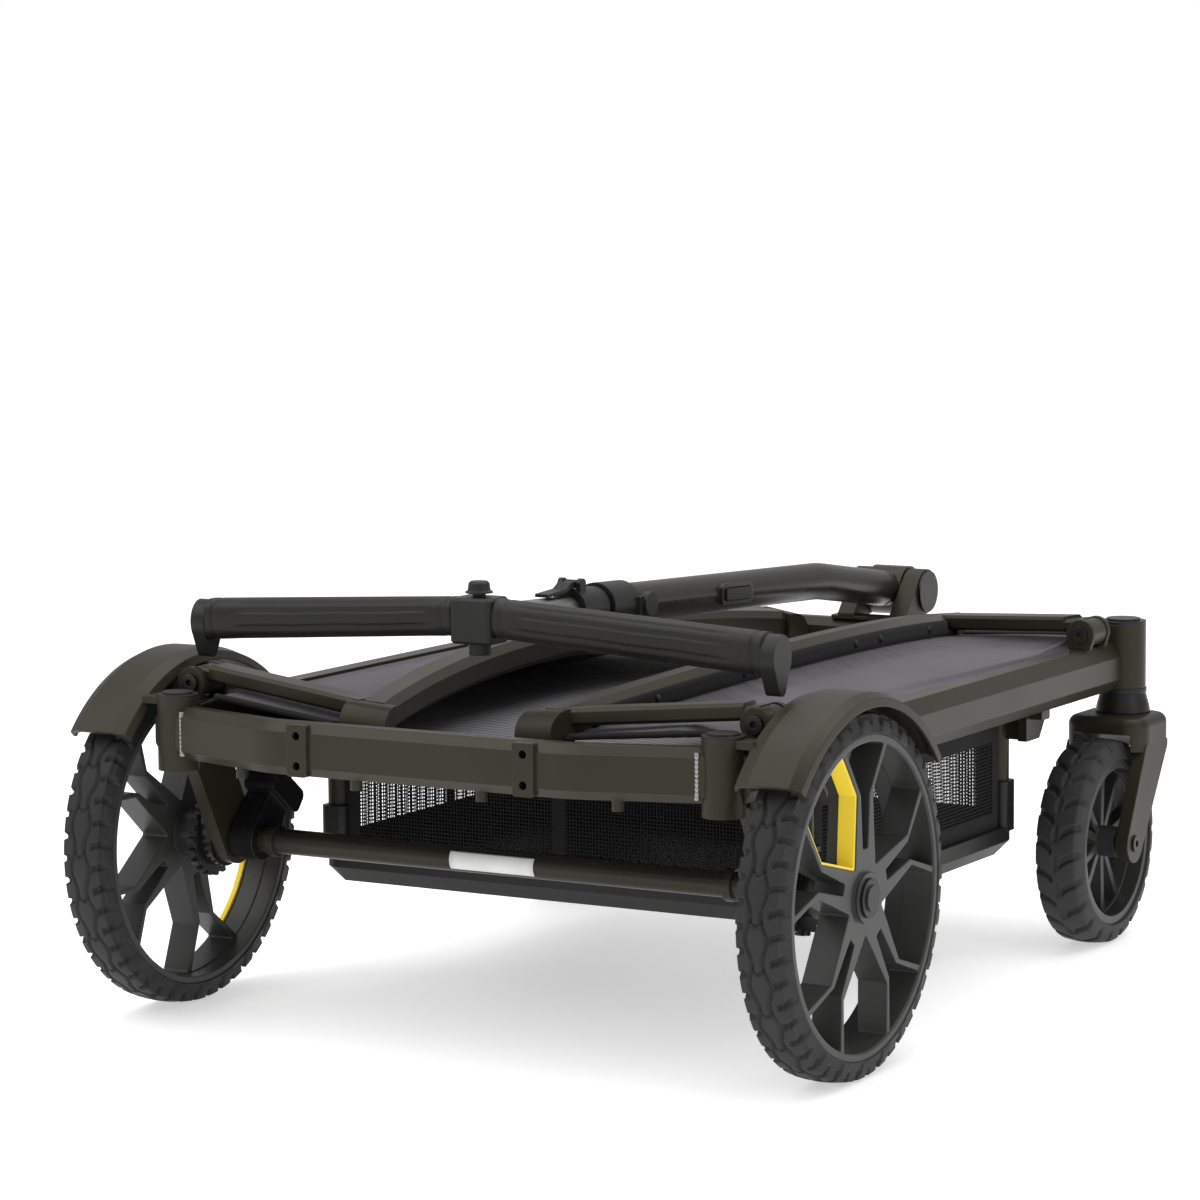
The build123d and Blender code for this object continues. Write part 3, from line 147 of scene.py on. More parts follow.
# ---------------------------------------------------------------- materials
class Finish:
    """A Principled material whose inputs are wired from procedural textures."""

    def __init__(self, name, roughness=0.5, metallic=0.0):
        self.material = bpy.data.materials.new(name)
        self.material.use_nodes = True
        self.tree = self.material.node_tree
        self.shader = self.tree.nodes["Principled BSDF"]
        self.shader.inputs["Roughness"].default_value = roughness
        self.shader.inputs["Metallic"].default_value = metallic
        self.place = self.node("ShaderNodeTexCoord").outputs["Object"]

    def node(self, kind, **settings):
        made = self.tree.nodes.new(kind)
        for key, value in settings.items():
            setattr(made, key, value)
        return made

    def wire(self, source, made, socket):
        self.tree.links.new(source, made.inputs[socket])

    def noise(self, scale, detail=3.0, stretch=(1, 1, 1), distortion=0.0):
        moved = self.node("ShaderNodeMapping")
        moved.inputs["Scale"].default_value = stretch
        self.wire(self.place, moved, "Vector")
        made = self.node("ShaderNodeTexNoise")
        made.inputs["Scale"].default_value = scale
        made.inputs["Detail"].default_value = detail
        made.inputs["Distortion"].default_value = distortion
        self.wire(moved.outputs["Vector"], made, "Vector")
        return made.outputs["Fac"]

    def ramp(self, source, stops):
        made = self.node("ShaderNodeValToRGB")
        ramp = made.color_ramp
        while len(ramp.elements) < len(stops):
            ramp.elements.new(0.5)
        for element, (place, colour) in zip(ramp.elements, stops):
            element.position = place
            element.color = (*colour, 1) if len(colour) == 3 else colour
        self.wire(source, made, "Fac")
        return made.outputs["Color"]

    def span(self, source, low, high, from_low=0.0, from_high=1.0):
        made = self.node("ShaderNodeMapRange")
        made.inputs["From Min"].default_value = from_low
        made.inputs["From Max"].default_value = from_high
        made.inputs["To Min"].default_value = low
        made.inputs["To Max"].default_value = high
        self.wire(source, made, "Value")
        return made.outputs["Result"]

    def maths(self, operation, first, second=None):
        made = self.node("ShaderNodeMath", operation=operation)
        for index, value in enumerate((first, second)):
            if value is None:
                continue
            if isinstance(value, (int, float)):
                made.inputs[index].default_value = value
            else:
                self.tree.links.new(value, made.inputs[index])
        return made.outputs[0]

    def mix(self, amount, first, second, blend="MIX"):
        made = self.node("ShaderNodeMix", data_type="RGBA", blend_type=blend)
        for socket, value in ((0, amount), (6, first), (7, second)):
            if isinstance(value, (int, float)):
                made.inputs[socket].default_value = value
            elif isinstance(value, tuple):
                made.inputs[socket].default_value = (*value, 1)
            else:
                self.tree.links.new(value, made.inputs[socket])
        return made.outputs[2]

    def soft_edges(self, radius):
        """Normal rounded at sharp edges, and how far it leans away from the face, 0 to 1."""
        bevel = self.node("ShaderNodeBevel", samples=6)
        bevel.inputs["Radius"].default_value = radius
        geometry = self.node("ShaderNodeNewGeometry")
        lean = self.node("ShaderNodeVectorMath", operation="DOT_PRODUCT")
        self.wire(bevel.outputs["Normal"], lean, 0)
        self.wire(geometry.outputs["Normal"], lean, 1)
        return bevel.outputs["Normal"], self.span(lean.outputs["Value"], 1.0, 0.0, 0.80, 0.985)

    def bump(self, height, strength, distance, normal=None):
        made = self.node("ShaderNodeBump")
        made.inputs["Strength"].default_value = strength
        made.inputs["Distance"].default_value = distance
        self.wire(height, made, "Height")
        if normal is not None:
            self.wire(normal, made, "Normal")
        return made.outputs["Normal"]

    def set(self, **inputs):
        """Wires or sets shader sockets, named with underscores for spaces."""
        for key, value in inputs.items():
            socket = self.shader.inputs[key.replace("_", " ")]
            if isinstance(value, (int, float)):
                socket.default_value = value
            elif isinstance(value, tuple):
                socket.default_value = (*value, 1)
            else:
                self.tree.links.new(value, socket)
        return self.material


def floor_paint():
    """Pale paint with a slight glow, so that the far floor is as white as the backdrop. The glow also paints the
    shadow under the wagon lighter and lights its underside from below.
    """
    made = Finish("floor_paint", roughness=0.55)
    tone = made.ramp(made.noise(3.0), ((0.3, (0.84, 0.84, 0.84)), (0.7, (0.87, 0.87, 0.87))))
    return made.set(Base_Color=tone, Emission_Color=(1.0, 1.0, 1.0), Emission_Strength=FLOOR_GLOW,
                    Normal=made.bump(made.noise(240.0), 0.05, 0.0005))


def coating(name, dark, light, worn, roughness, grain=1500.0, edge=0.0009, depth=0.00012,
            sheen_hue=(1, 1, 1)):
    """Powder coat or moulded plastic: fine grain, slow colour drift, and paler, smoother edges."""
    made = Finish(name)
    rounded, edges = made.soft_edges(edge)
    drift = made.noise(9.0, 4.0, distortion=0.3)
    fine = made.noise(grain, 2.0)
    body = made.ramp(drift, ((0.32, dark), (0.68, light)))
    speck = made.mix(made.span(fine, 0.0, 0.10, 0.55, 0.75), body, light)
    handled = made.maths("MULTIPLY", edges, made.span(made.noise(60.0), 0.25, 0.8, 0.35, 0.65))
    colour = made.mix(handled, speck, worn)
    gloss = made.maths("ADD", made.span(drift, roughness - 0.05, roughness + 0.06, 0.3, 0.7),
                       made.span(fine, -0.04, 0.05))
    return made.set(Base_Color=colour, Roughness=gloss, Specular_IOR_Level=0.25, Specular_Tint=sheen_hue,
                    Normal=made.bump(fine, 0.35, depth, rounded))


def rubber(name, dark, light, roughness=0.62):
    made = Finish(name)
    dust = made.noise(26.0, 6.0, distortion=0.4)
    fine = made.noise(900.0, 3.0)
    colour = made.mix(made.span(dust, 0.0, 0.55, 0.45, 0.8), dark, light)
    gloss = made.span(dust, roughness - 0.08, roughness + 0.12, 0.3, 0.7)
    return made.set(Base_Color=colour, Roughness=gloss, Specular_IOR_Level=0.38,
                    Normal=made.bump(fine, 0.3, 0.00016))


def bare_metal(name, colour, roughness, along=(1, 1, 1)):
    made = Finish(name, metallic=1.0)
    rounded, edges = made.soft_edges(0.0006)
    lines = made.noise(320.0, 3.0, stretch=along)
    tone = made.mix(made.span(lines, 0.0, 0.5, 0.3, 0.7), tuple(c * 0.82 for c in colour), colour)
    gloss = made.span(lines, roughness - 0.06, roughness + 0.08, 0.3, 0.7)
    return made.set(Base_Color=made.mix(edges, tone, tuple(min(1, c * 1.2) for c in colour)),
                    Roughness=gloss, Normal=made.bump(lines, 0.12, 0.00008, rounded))


def woven(name, dark, light, thread=0.0011, roughness=0.85, sheen=0.25, slub=0.5):
    """Plain weave: warp and weft ridges crossing, with painted shade between the threads, uneven threads and a
    little fuzz.
    """
    made = Finish(name, roughness=roughness)
    heights = []
    for axis in ("X", "Y"):
        wave = made.node("ShaderNodeTexWave", wave_type="BANDS", bands_direction=axis, wave_profile="SIN")
        wave.inputs["Scale"].default_value = 0.314 / thread
        wave.inputs["Distortion"].default_value = 0.35
        wave.inputs["Detail"].default_value = 1.0
        made.wire(made.place, wave, "Vector")
        heights.append(wave.outputs["Fac"])
    weave = made.maths("MAXIMUM", heights[0], heights[1])
    cloud = made.noise(22.0, 5.0, distortion=0.4)
    fuzz = made.noise(700.0, 2.0)
    colour = made.mix(made.span(cloud, 0.15, 0.85, 0.3, 0.7), dark, light)
    # Painted shade: the low parts of the weave, between the threads, are darkened towards a deeper tone.
    colour = made.mix(made.span(weave, 0.42, 0.0, 0.4, 1.0), colour, tuple(c * 0.55 for c in dark))
    colour = made.mix(made.span(fuzz, 0.0, slub * 0.4, 0.5, 0.8), colour, light)
    relief = made.maths("ADD", weave, made.span(fuzz, 0.0, 0.35))
    return made.set(Base_Color=colour, Sheen_Weight=sheen, Sheen_Roughness=0.45, Specular_IOR_Level=0.25,
                    Normal=made.bump(relief, 0.4, 0.0002))


def ribbed_mat():
    """Dark rubbery cloth with narrow raised ribs that run across it on the skew, the ribs painted pale as a
    painted highlight.
    """
    made = Finish("mat_cloth", roughness=0.6)
    turned = made.node("ShaderNodeMapping")
    turned.inputs["Rotation"].default_value = (0, 0, radians(33))
    made.wire(made.place, turned, "Vector")
    wave = made.node("ShaderNodeTexWave", wave_type="BANDS", bands_direction="X", wave_profile="SIN")
    wave.inputs["Scale"].default_value = 0.314 / 0.0075
    wave.inputs["Distortion"].default_value = 0.15
    made.wire(turned.outputs["Vector"], wave, "Vector")
    rib = made.span(wave.outputs["Fac"], 0.0, 1.0, 0.62, 0.9)
    fine = made.noise(700.0, 3.0)
    cloud = made.noise(16.0, 4.0, distortion=0.4)
    ground = made.mix(made.span(cloud, 0.0, 1.0, 0.3, 0.7), (0.040, 0.038, 0.043), (0.070, 0.067, 0.073))
    # Painted highlight: the raised ribs are painted pale grey, as light catching their tops.
    colour = made.mix(rib, ground, (0.28, 0.28, 0.29))
    relief = made.maths("ADD", rib, made.span(fine, 0.0, 0.25))
    return made.set(Base_Color=colour, Roughness=made.span(fine, 0.5, 0.72), Specular_IOR_Level=0.35,
                    Normal=made.bump(relief, 0.7, 0.0009))


# Each coating has a dark and a light tone, and a paler one for its handled edges.
OLIVE = ((0.0178, 0.0164, 0.0098), (0.0245, 0.0226, 0.0142), (0.068, 0.064, 0.046))
OLIVE_MOULDED = ((0.0170, 0.0156, 0.0100), (0.0230, 0.0212, 0.0140), (0.055, 0.051, 0.038))
OLIVE_TUBE = ((0.0150, 0.0142, 0.0098), (0.0215, 0.0203, 0.0145), (0.068, 0.064, 0.046))
BLACK = ((0.010, 0.010, 0.010), (0.017, 0.017, 0.016), (0.050, 0.050, 0.048))
GLOSS = ((0.008, 0.008, 0.009), (0.012, 0.012, 0.013), (0.050, 0.050, 0.048))
RIM = ((0.029, 0.029, 0.0285), (0.043, 0.043, 0.042), (0.090, 0.090, 0.087))
YELLOW = ((0.93, 0.68, 0.035), (0.98, 0.76, 0.06), (1.0, 0.86, 0.25))
GRIP = ((0.0122, 0.0116, 0.0096), (0.0172, 0.0164, 0.0138), (0.042, 0.040, 0.035))
WARM = (1.0, 0.94, 0.80)

FINISHES = {
    "frame": coating("frame_coat", *OLIVE, 0.33, sheen_hue=WARM),
    "frame_plastic": coating("frame_moulding", *OLIVE_MOULDED, 0.42, grain=900.0, edge=0.0014, depth=0.0002,
                             sheen_hue=WARM),
    "dark_plastic": coating("black_moulding", *BLACK, 0.40, grain=1100.0, edge=0.0010),
    "gloss_plastic": coating("gloss_moulding", *GLOSS, 0.18, grain=2200.0, depth=0.00004),
    "rim": coating("rim_moulding", *RIM, 0.36, grain=800.0, edge=0.0016, depth=0.0002),
    "accent": coating("accent_moulding", *YELLOW, 0.38, grain=900.0, edge=0.0010),
    "tube": coating("tube_coat", *OLIVE_TUBE, 0.28, sheen_hue=WARM),
    "grip": coating("grip_rubber", *GRIP, 0.45, grain=650.0, edge=0.0016, depth=0.0003),
    "steel": bare_metal("blackened_steel", (0.055, 0.055, 0.053), 0.40),
    "inner_tube": bare_metal("anodised_tube", (0.30, 0.30, 0.28), 0.36, along=(1, 0.05, 1)),
    "tyre": rubber("tyre_rubber", (0.0115, 0.0115, 0.0115), (0.026, 0.026, 0.025)),
    "fabric": woven("wall_cloth", (0.050, 0.0458, 0.0543), (0.083, 0.0765, 0.0898), sheen=0.2),
    "mat": ribbed_mat(),
    "mesh": woven("net_yarn", (0.007, 0.007, 0.008), (0.014, 0.014, 0.015), thread=0.0006, sheen=0.04),
}
BINDING = woven("binding_tape", (0.007, 0.007, 0.008), (0.014, 0.014, 0.015), thread=0.0008, sheen=0.04)
# Painted light: the front tyres get a lighter copy of the tyre rubber, to lift the shade they sit in.
FRONT_TYRE_LIGHTENED_FOR_SHADE = rubber("front_tyre_rubber_lightened_for_shade", (0.020, 0.020, 0.020), (0.038, 0.038, 0.037))
WELD = bare_metal("weld_metal", (0.34, 0.33, 0.31), 0.34)


# ---------------------------------------------------------------- mesh tools
def make_piece(name, vertices, faces, slot, smooth=True, material=None):
    mesh = bpy.data.meshes.new(name)
    mesh.from_pydata([tuple(v) for v in vertices], [], [tuple(int(i) for i in f) for f in faces])
    mesh.validate()
    piece = bpy.data.objects.new(name, mesh)
    bpy.context.scene.collection.objects.link(piece)
    edit = bmesh.new()
    edit.from_mesh(mesh)
    bmesh.ops.recalc_face_normals(edit, faces=edit.faces)
    edit.to_mesh(mesh)
    edit.free()
    mesh.polygons.foreach_set("use_smooth", [smooth] * len(mesh.polygons))
    mesh.materials.append(material or FINISHES[slot])
    return piece


def grid_faces(rows, columns, wrap_rows=False, wrap_columns=False):
    """Quads of a grid of vertices numbered row by row, wrapped round where asked."""
    row_count = rows if wrap_rows else rows - 1
    column_count = columns if wrap_columns else columns - 1
    i, j = np.meshgrid(np.arange(row_count), np.arange(column_count), indexing="ij")
    i, j = i.ravel(), j.ravel()
    i2, j2 = (i + 1) % rows, (j + 1) % columns
    return np.stack([i * columns + j, i * columns + j2, i2 * columns + j2, i2 * columns + j], 1)


def slab(outline, offset):
    """A closed sheet: a grid of points given as (rows, columns, 3), thickened by the vectors in offset."""
    rows, columns = outline.shape[:2]
    top = outline.reshape(-1, 3)
    bottom = (outline + offset).reshape(-1, 3)
    count = rows * columns
    faces = [tuple(f) for f in grid_faces(rows, columns)]
    faces += [tuple(int(i) + count for i in reversed(f)) for f in grid_faces(rows, columns)]
    edge = [j for j in range(columns)] + [i * columns + columns - 1 for i in range(1, rows)]
    edge += [(rows - 1) * columns + j for j in range(columns - 2, -1, -1)]
    edge += [i * columns for i in range(rows - 2, 0, -1)]
    for a, b in zip(edge, edge[1:] + edge[:1]):
        faces.append((b, a, a + count, b + count))
    return np.concatenate([top, bottom]), faces


def tube_along(points, radius, sides=10, squash=1.0, flat=None):
    """Vertices and faces of a closed tube that follows points."""
    points = [Vector(p) for p in points]
    vertices, faces = [], []
    for index, point in enumerate(points):
        before = points[max(index - 1, 0)]
        after = points[min(index + 1, len(points) - 1)]
        along = (after - before).normalized()
        side = (Vector(flat) if flat else Vector((0, 0, 1))).cross(along)
        side = side.normalized() if side.length > 1e-6 else along.orthogonal().normalized()
        up = along.cross(side)
        for k in range(sides):
            turn = 2 * pi * k / sides
            vertices.append(point + side * (cos(turn) * radius) + up * (sin(turn) * radius * squash))
    faces += [tuple(f) for f in grid_faces(len(points), sides, wrap_columns=True)]
    faces.append(tuple(range(sides)))
    faces.append(tuple(range(len(vertices) - sides, len(vertices))))
    return vertices, faces


def box_strip(lower, upper):
    """Eight corners and six faces of a thin bar between two corners."""
    (x0, y0, z0), (x1, y1, z1) = lower, upper
    vertices = [(x0, y0, z0), (x1, y0, z0), (x1, y1, z0), (x0, y1, z0),
                (x0, y0, z1), (x1, y0, z1), (x1, y1, z1), (x0, y1, z1)]
    faces = [(0, 3, 2, 1), (4, 5, 6, 7), (0, 1, 5, 4), (1, 2, 6, 5), (2, 3, 7, 6), (3, 0, 4, 7)]
    return vertices, faces


def join_parts(parts):
    vertices, faces = [], []
    for part_vertices, part_faces in parts:
        base = len(vertices)
        vertices += [tuple(v) for v in part_vertices]
        faces += [tuple(int(i) + base for i in f) for f in part_faces]
    return vertices, faces


def near_edges(t):
    """Spreads points from -1 to 1 so that they are closer together near both ends."""
    return np.sign(t) * (1 - (1 - np.abs(t)) ** 1.3)


def smooth_step(value, low, high):
    t = np.clip((value - low) / (high - low), 0, 1)
    return t * t * (3 - 2 * t)


def groove(distance, width, edge=0.7 * mm):
    """1 inside a groove of that width, 0 outside, with short slopes for walls."""
    return 1 - smooth_step(np.abs(distance), width / 2 - edge / 2, width / 2 + edge / 2)


def wrapped(value, pitch):
    """Signed distance from value to the nearest whole multiple of pitch."""
    return (value + pitch / 2) % pitch - pitch / 2


# ---------------------------------------------------------------- tyres
def tyre(name, node, body, rim_radius, crown, relief, around=720, material=None):
    """A treaded ring in place of a plain tyre. relief(arc, across, radius, length round) gives its cuts."""
    low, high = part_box(node)
    centre = (low + high) / 2
    radius = (high.z - low.z) / 2
    half = (high.x - low.x) / 2
    # outer side of the section, from bead to bead: a rounded shoulder each side and a low crown
    steps = 56
    t = np.linspace(-1, 1, steps)
    across = np.sign(t) * np.abs(t) ** 0.92
    wall = smooth_step(np.abs(t), 0.55, 1.0)
    x = half * np.sign(across) * (1 - (1 - np.abs(across)) ** 1.35)
    r = radius - crown * (x / half) ** 2 - (radius - rim_radius - crown) * wall ** 1.6
    x = np.where(np.abs(t) > 0.93, np.sign(t) * (half - 1.6 * mm * (np.abs(t) - 0.93) / 0.07), x)
    dx, dr = np.gradient(x), np.gradient(r)
    length = np.hypot(dx, dr)
    normal_x, normal_r = -dr / length, dx / length
    angle = np.linspace(0, 2 * pi, around, endpoint=False)
    arc = angle[:, None] * radius
    depth = relief(arc, x[None, :], r[None, :], 2 * pi * radius) * np.ones((around, steps))
    depth[:, :2] = 0
    depth[:, -2:] = 0
    ring_x = centre.x + x[None, :] - normal_x[None, :] * depth
    ring_r = r[None, :] - normal_r[None, :] * depth
    vertices = np.stack([
        ring_x,
        centre.y + ring_r * np.cos(angle)[:, None],
        centre.z + ring_r * np.sin(angle)[:, None],
    ], -1)
    # inner side that seats on the rim
    seat = np.stack([
        np.stack([np.full(around, centre.x + sx * (half - 4 * mm)),
                  centre.y + (rim_radius + 0.2 * mm) * np.cos(angle),
                  centre.z + (rim_radius + 0.2 * mm) * np.sin(angle)], -1)
        for sx in (1, -1)
    ], 1)
    grid = np.concatenate([vertices, seat], 1)
    columns = grid.shape[1]
    faces = grid_faces(around, columns, wrap_rows=True, wrap_columns=True)
    piece = make_piece(name, grid.reshape(-1, 3), faces, "tyre", material=material)
    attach(piece, body)
    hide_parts(node)
    return piece


def rear_tread(arc, x, r, round_length):
    """Shoulder knobs, a wavy pair of grooves along the middle, and blocks on the sidewalls."""
    pitch = round_length / 48
    unit = round_length / 24
    groove_deep, ring_deep, sipe_deep, wall_deep = 3.0 * mm, 2.0 * mm, 1.8 * mm, 1.1 * mm
    side = np.sign(x)
    reach = np.abs(x)
    slant = 0.32 * (reach - 10 * mm) * side
    shoulder = groove(wrapped(arc + slant + (side > 0) * pitch / 2, pitch), 4.6 * mm)
    shoulder = shoulder * smooth_step(reach, 9.5 * mm, 11.0 * mm) * smooth_step(r, 126.5 * mm, 128.5 * mm)
    wave = 6.2 * mm + 2.2 * mm * np.sin(2 * pi * arc / unit)
    rings = groove(reach - wave, 2.6 * mm)
    sipes = groove(wrapped(arc + 0.9 * reach, unit), 2.4 * mm) * (1 - smooth_step(reach, 5.5 * mm, 6.5 * mm))
    block = groove(wrapped(arc, unit), 15 * mm) * groove(r - 126.2 * mm, 9.5 * mm)
    walls = smooth_step(reach, 16.5 * mm, 18.0 * mm) * smooth_step(r, 120.5 * mm, 121.5 * mm)
    middle_cuts = ring_deep * rings * (1 - shoulder) + sipe_deep * sipes
    return groove_deep * shoulder + middle_cuts + wall_deep * walls * (1 - block)


def front_tread(arc, x, r, round_length):
    """Deep chevrons whose legs run off over the shoulders."""
    unit = round_length / 22
    reach = np.abs(x)
    side = np.sign(x)
    shift = 0.75 * reach + 2.2 * mm * np.sin(reach / (5 * mm)) + (side > 0) * unit * 0.5
    legs = groove(wrapped(arc + shift, unit), 6.0 * mm, 1.2 * mm) * smooth_step(reach, 2.5 * mm, 4.5 * mm)
    legs = legs * smooth_step(r, 77.0 * mm, 79.0 * mm)
    spine = groove(reach - 1.5 * mm * np.sin(2 * pi * arc / unit), 2.0 * mm) * 0.5
    return 3.2 * mm * np.maximum(legs, spine)


def add_tyres():
    rear_seat, front_seat, crown = 119.4 * mm, 70.0 * mm, 3.0 * mm
    for side, _ in SIDES:
        tyre(f"treaded_rear_tyre_{side}", f"rear_tyre_{side}", f"rear_wheel_{side}", rear_seat, crown,
             rear_tread)
        tyre(f"treaded_front_tyre_{side}", f"front_tyre_{side}", f"front_wheel_{side}", front_seat, crown,
             front_tread, around=560, material=FRONT_TYRE_LIGHTENED_FOR_SHADE)


# ---------------------------------------------------------------- handle grips
def add_grips():
    """Oval grips that droop outwards, with long flutes and end rings."""
    start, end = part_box("handle_hub")[1].x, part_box("handle_grips")[1].x
    flutes, flute_wide, flute_deep, ring_deep = 11, 2.6 * mm, 1.0 * mm, 1.1 * mm
    root_height, droop = 327.0 * mm, 14.0 * mm
    squareness = 2 / 2.7
    sides = 120
    for side, sx in SIDES:
        stations = np.concatenate([
            np.linspace(start, start + 14 * mm, 8), np.linspace(start + 16 * mm, end - 14 * mm, 60),
            np.linspace(end - 12 * mm, end, 16),
        ])
        turn = np.linspace(0, 2 * pi, sides, endpoint=False)
        rings = []
        for x in stations:
            t = (x - start) / (end - start)
            tall = (15.0 + 1.2 * t) * mm
            deep = (13.0 + 0.5 * t) * mm
            centre_z = root_height - droop * t
            y = deep * np.sign(np.cos(turn)) * np.abs(np.cos(turn)) ** squareness
            z = tall * np.sign(np.sin(turn)) * np.abs(np.sin(turn)) ** squareness
            from_start, from_end = x - start, end - x
            ring = groove(from_end - 7.5 * mm, 2.4 * mm) + groove(from_start - 8.0 * mm, 2.0 * mm)
            panel = smooth_step(from_start, 14 * mm, 30 * mm) * smooth_step(from_end, 20 * mm, 40 * mm)
            drift = 0.014 * sin(19 * t + sx) + 0.006 * sin(47 * t)
            flute = groove(wrapped(turn + drift, 2 * pi / flutes) * 15 * mm, flute_wide, 2.4 * mm) * panel
            cut = (ring_deep * ring + flute_deep * flute) / np.hypot(y, z)
            rings.append(np.stack([
                np.full(sides, sx * x), hub_centre.y + y * (1 - cut), centre_z + z * (1 - cut)], -1))
        grid = np.array(rings)
        faces = [tuple(f) for f in grid_faces(len(stations), sides, wrap_columns=True)]
        faces += [tuple(range(sides)), tuple(range(len(stations) * sides - sides, len(stations) * sides))]
        piece = make_piece(f"grip_{side}", grid.reshape(-1, 3), faces, "grip")
        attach(piece, "handle_inner")
        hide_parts("handle_grips")


# ---------------------------------------------------------------- side walls
WALL_TILTS = {"left": radians(6.5), "right": radians(4.8)}
RAIL_SIDE = 154.9 * mm
RAIL_HEIGHT = 2.0 * mm
WALL_DIP = 38.0 * mm
WALL_BOW = 15.0 * mm


def wall_point(side, sx, u, y, n):
    """Point of a folded wall: u inboard from its hinge, n out of its face."""
    hinge = Vector(joint_of[f"wall_{side}_unfold"]["pos_m"])
    tilt = WALL_TILTS[side]
    return Vector((
        hinge.x - sx * (u * cos(tilt) + n * sin(tilt)), y, hinge.z - u * sin(tilt) + n * cos(tilt)))


def wall_flat(side, x, z):
    """The wall's own u and n of a place given by its distance from the centre plane and its height."""
    hinge = joint_of[f"wall_{side}_unfold"]["pos_m"]
    inboard, rise = abs(hinge[0]) - x, z - hinge[2]
    tilt = WALL_TILTS[side]
    return inboard * cos(tilt) - rise * sin(tilt), inboard * sin(tilt) + rise * cos(tilt)


def rail_arch(y, rail_low, rail_high):
    """How far along its bow a wall's rail is at y: 0 at its ends, 1 in the middle, below 0 past its ends."""
    middle_y, half_y = (rail_low.y + rail_high.y) / 2, (rail_high.y - rail_low.y) / 2
    return 1 - ((y - middle_y) / half_y) ** 2


def cloth_ends(w, rail_low, rail_high):
    """Rear and front edge of a wall's cloth, at w from the side rail, 0, to the wall's rail, 1."""
    return rail_low.y - (4 + 8 * w) * mm, rail_high.y - (40 - 50 * w) * mm


def settle(grid, hold, spare, steps=22, cap=7 * mm):
    """Lets cloth hang under its own weight, by no more than cap. hold is each point's grip, from 0 to 1."""
    rows, columns = grid.shape[:2]
    mesh = bpy.data.meshes.new("settling")
    mesh.from_pydata(grid.reshape(-1, 3).tolist(), [], grid_faces(rows, columns).tolist())
    cloth = bpy.data.objects.new("settling", mesh)
    scene = bpy.context.scene
    scene.collection.objects.link(cloth)
    group = cloth.vertex_groups.new(name="held")
    for index, weight in enumerate(hold.ravel()):
        if weight > 0:
            group.add([index], float(weight), "REPLACE")
    modifier = cloth.modifiers.new("settle", "CLOTH")
    settings = modifier.settings
    settings.quality = 5
    settings.mass = 0.12
    settings.tension_stiffness = 25
    settings.compression_stiffness = 12
    settings.shear_stiffness = 6
    settings.bending_stiffness = 0.25
    settings.shrink_min = -spare
    settings.vertex_group_mass = "held"
    modifier.collision_settings.use_collision = False
    modifier.point_cache.frame_end = steps
    for step in range(1, steps + 1):
        scene.frame_set(step)
    settled = cloth.evaluated_get(bpy.context.evaluated_depsgraph_get()).to_mesh()
    places = np.array([vertex.co[:] for vertex in settled.vertices]).reshape(grid.shape)
    bpy.data.objects.remove(cloth)
    scene.frame_set(1)
    moved = places - grid
    distance = np.linalg.norm(moved, axis=-1, keepdims=True)
    return grid + moved * np.minimum(1, cap / np.maximum(distance, 1e-9))


def add_wall_fabric():
    """Cloth from each wall's rail to the side rail, under both posts: taut, then settled by simulation."""
    rows, columns = 132, 46
    ridge_w, ridge_grip, spare_cloth, cloth_thick = 0.24, 0.30, 0.009, 1.2 * mm
    rail_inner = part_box("side_rail_right")[0].x
    rail_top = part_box("side_rail_right")[1].z
    for side, sx in SIDES:
        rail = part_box(f"wall_rail_{side}")
        hem = wall_flat(side, rail_inner - 0.8 * mm, rail_top - 2.5 * mm)
        grid = np.zeros((rows, columns, 3))
        hold = np.zeros((rows, columns))
        for i in range(rows):
            v = i / (rows - 1)
            for j in range(columns):
                w = j / (columns - 1)
                rear, front = cloth_ends(w, *rail)
                y = rear + (front - rear) * v
                arch = max(0.0, rail_arch(y, *rail))
                crest = 0.036 if side == "left" else min(max(0.0345 - 0.088 * y, 0.019), 0.060)
                ridge = wall_flat(side, rail_inner + 11.4 * mm - crest, rail_top + 6.5 * mm)
                tuck = 5 * mm if arch == 0.0 else 0.0
                edge = (RAIL_SIDE + 1.1 * mm - WALL_DIP * arch - tuck, -5 * mm + WALL_BOW * arch)
                k = w / ridge_w if w < ridge_w else (w - ridge_w) / (1 - ridge_w)
                first, second = (hem, ridge) if w < ridge_w else (ridge, edge)
                u = first[0] + (second[0] - first[0]) * k
                n = first[1] + (second[1] - first[1]) * k
                grid[i, j] = wall_point(side, sx, u, y, n)
                hold[i, j] = ridge_grip * max(0.0, 1 - abs(w - ridge_w) / 0.05)
        hold[:, 0] = hold[:, -1] = 1.0
        hold[:7] = hold[-7:] = 1.0
        top = settle(grid, hold, spare_cloth)
        tilt = WALL_TILTS[side]
        down = np.array([sx * sin(tilt), 0, -cos(tilt)]) * cloth_thick
        vertices, faces = slab(top, down)
        piece = make_piece(f"wall_cloth_{side}", vertices, faces, "fabric")
        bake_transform(piece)
        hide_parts(f"wall_fabric_{side}")


def add_hems():
    """Rolled hems along the cloth's short edges, under the posts."""
    hem_radius, hem_depth = 3.4 * mm, -4.8 * mm
    for side, sx in SIDES:
        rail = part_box(f"wall_rail_{side}")
        parts = []
        for end in (0, 1):
            points = []
            for k in np.linspace(0, 1, 24):
                u = (30 + 118 * k) * mm
                y = cloth_ends(0.22 + 0.74 * k, *rail)[end]
                points.append(wall_point(side, sx, u, y, hem_depth))
            parts.append(tube_along(points, hem_radius, sides=12, squash=0.75))
        piece = make_piece(f"wall_hems_{side}", *join_parts(parts), "fabric", material=BINDING)
        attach(piece, f"wall_{side}")


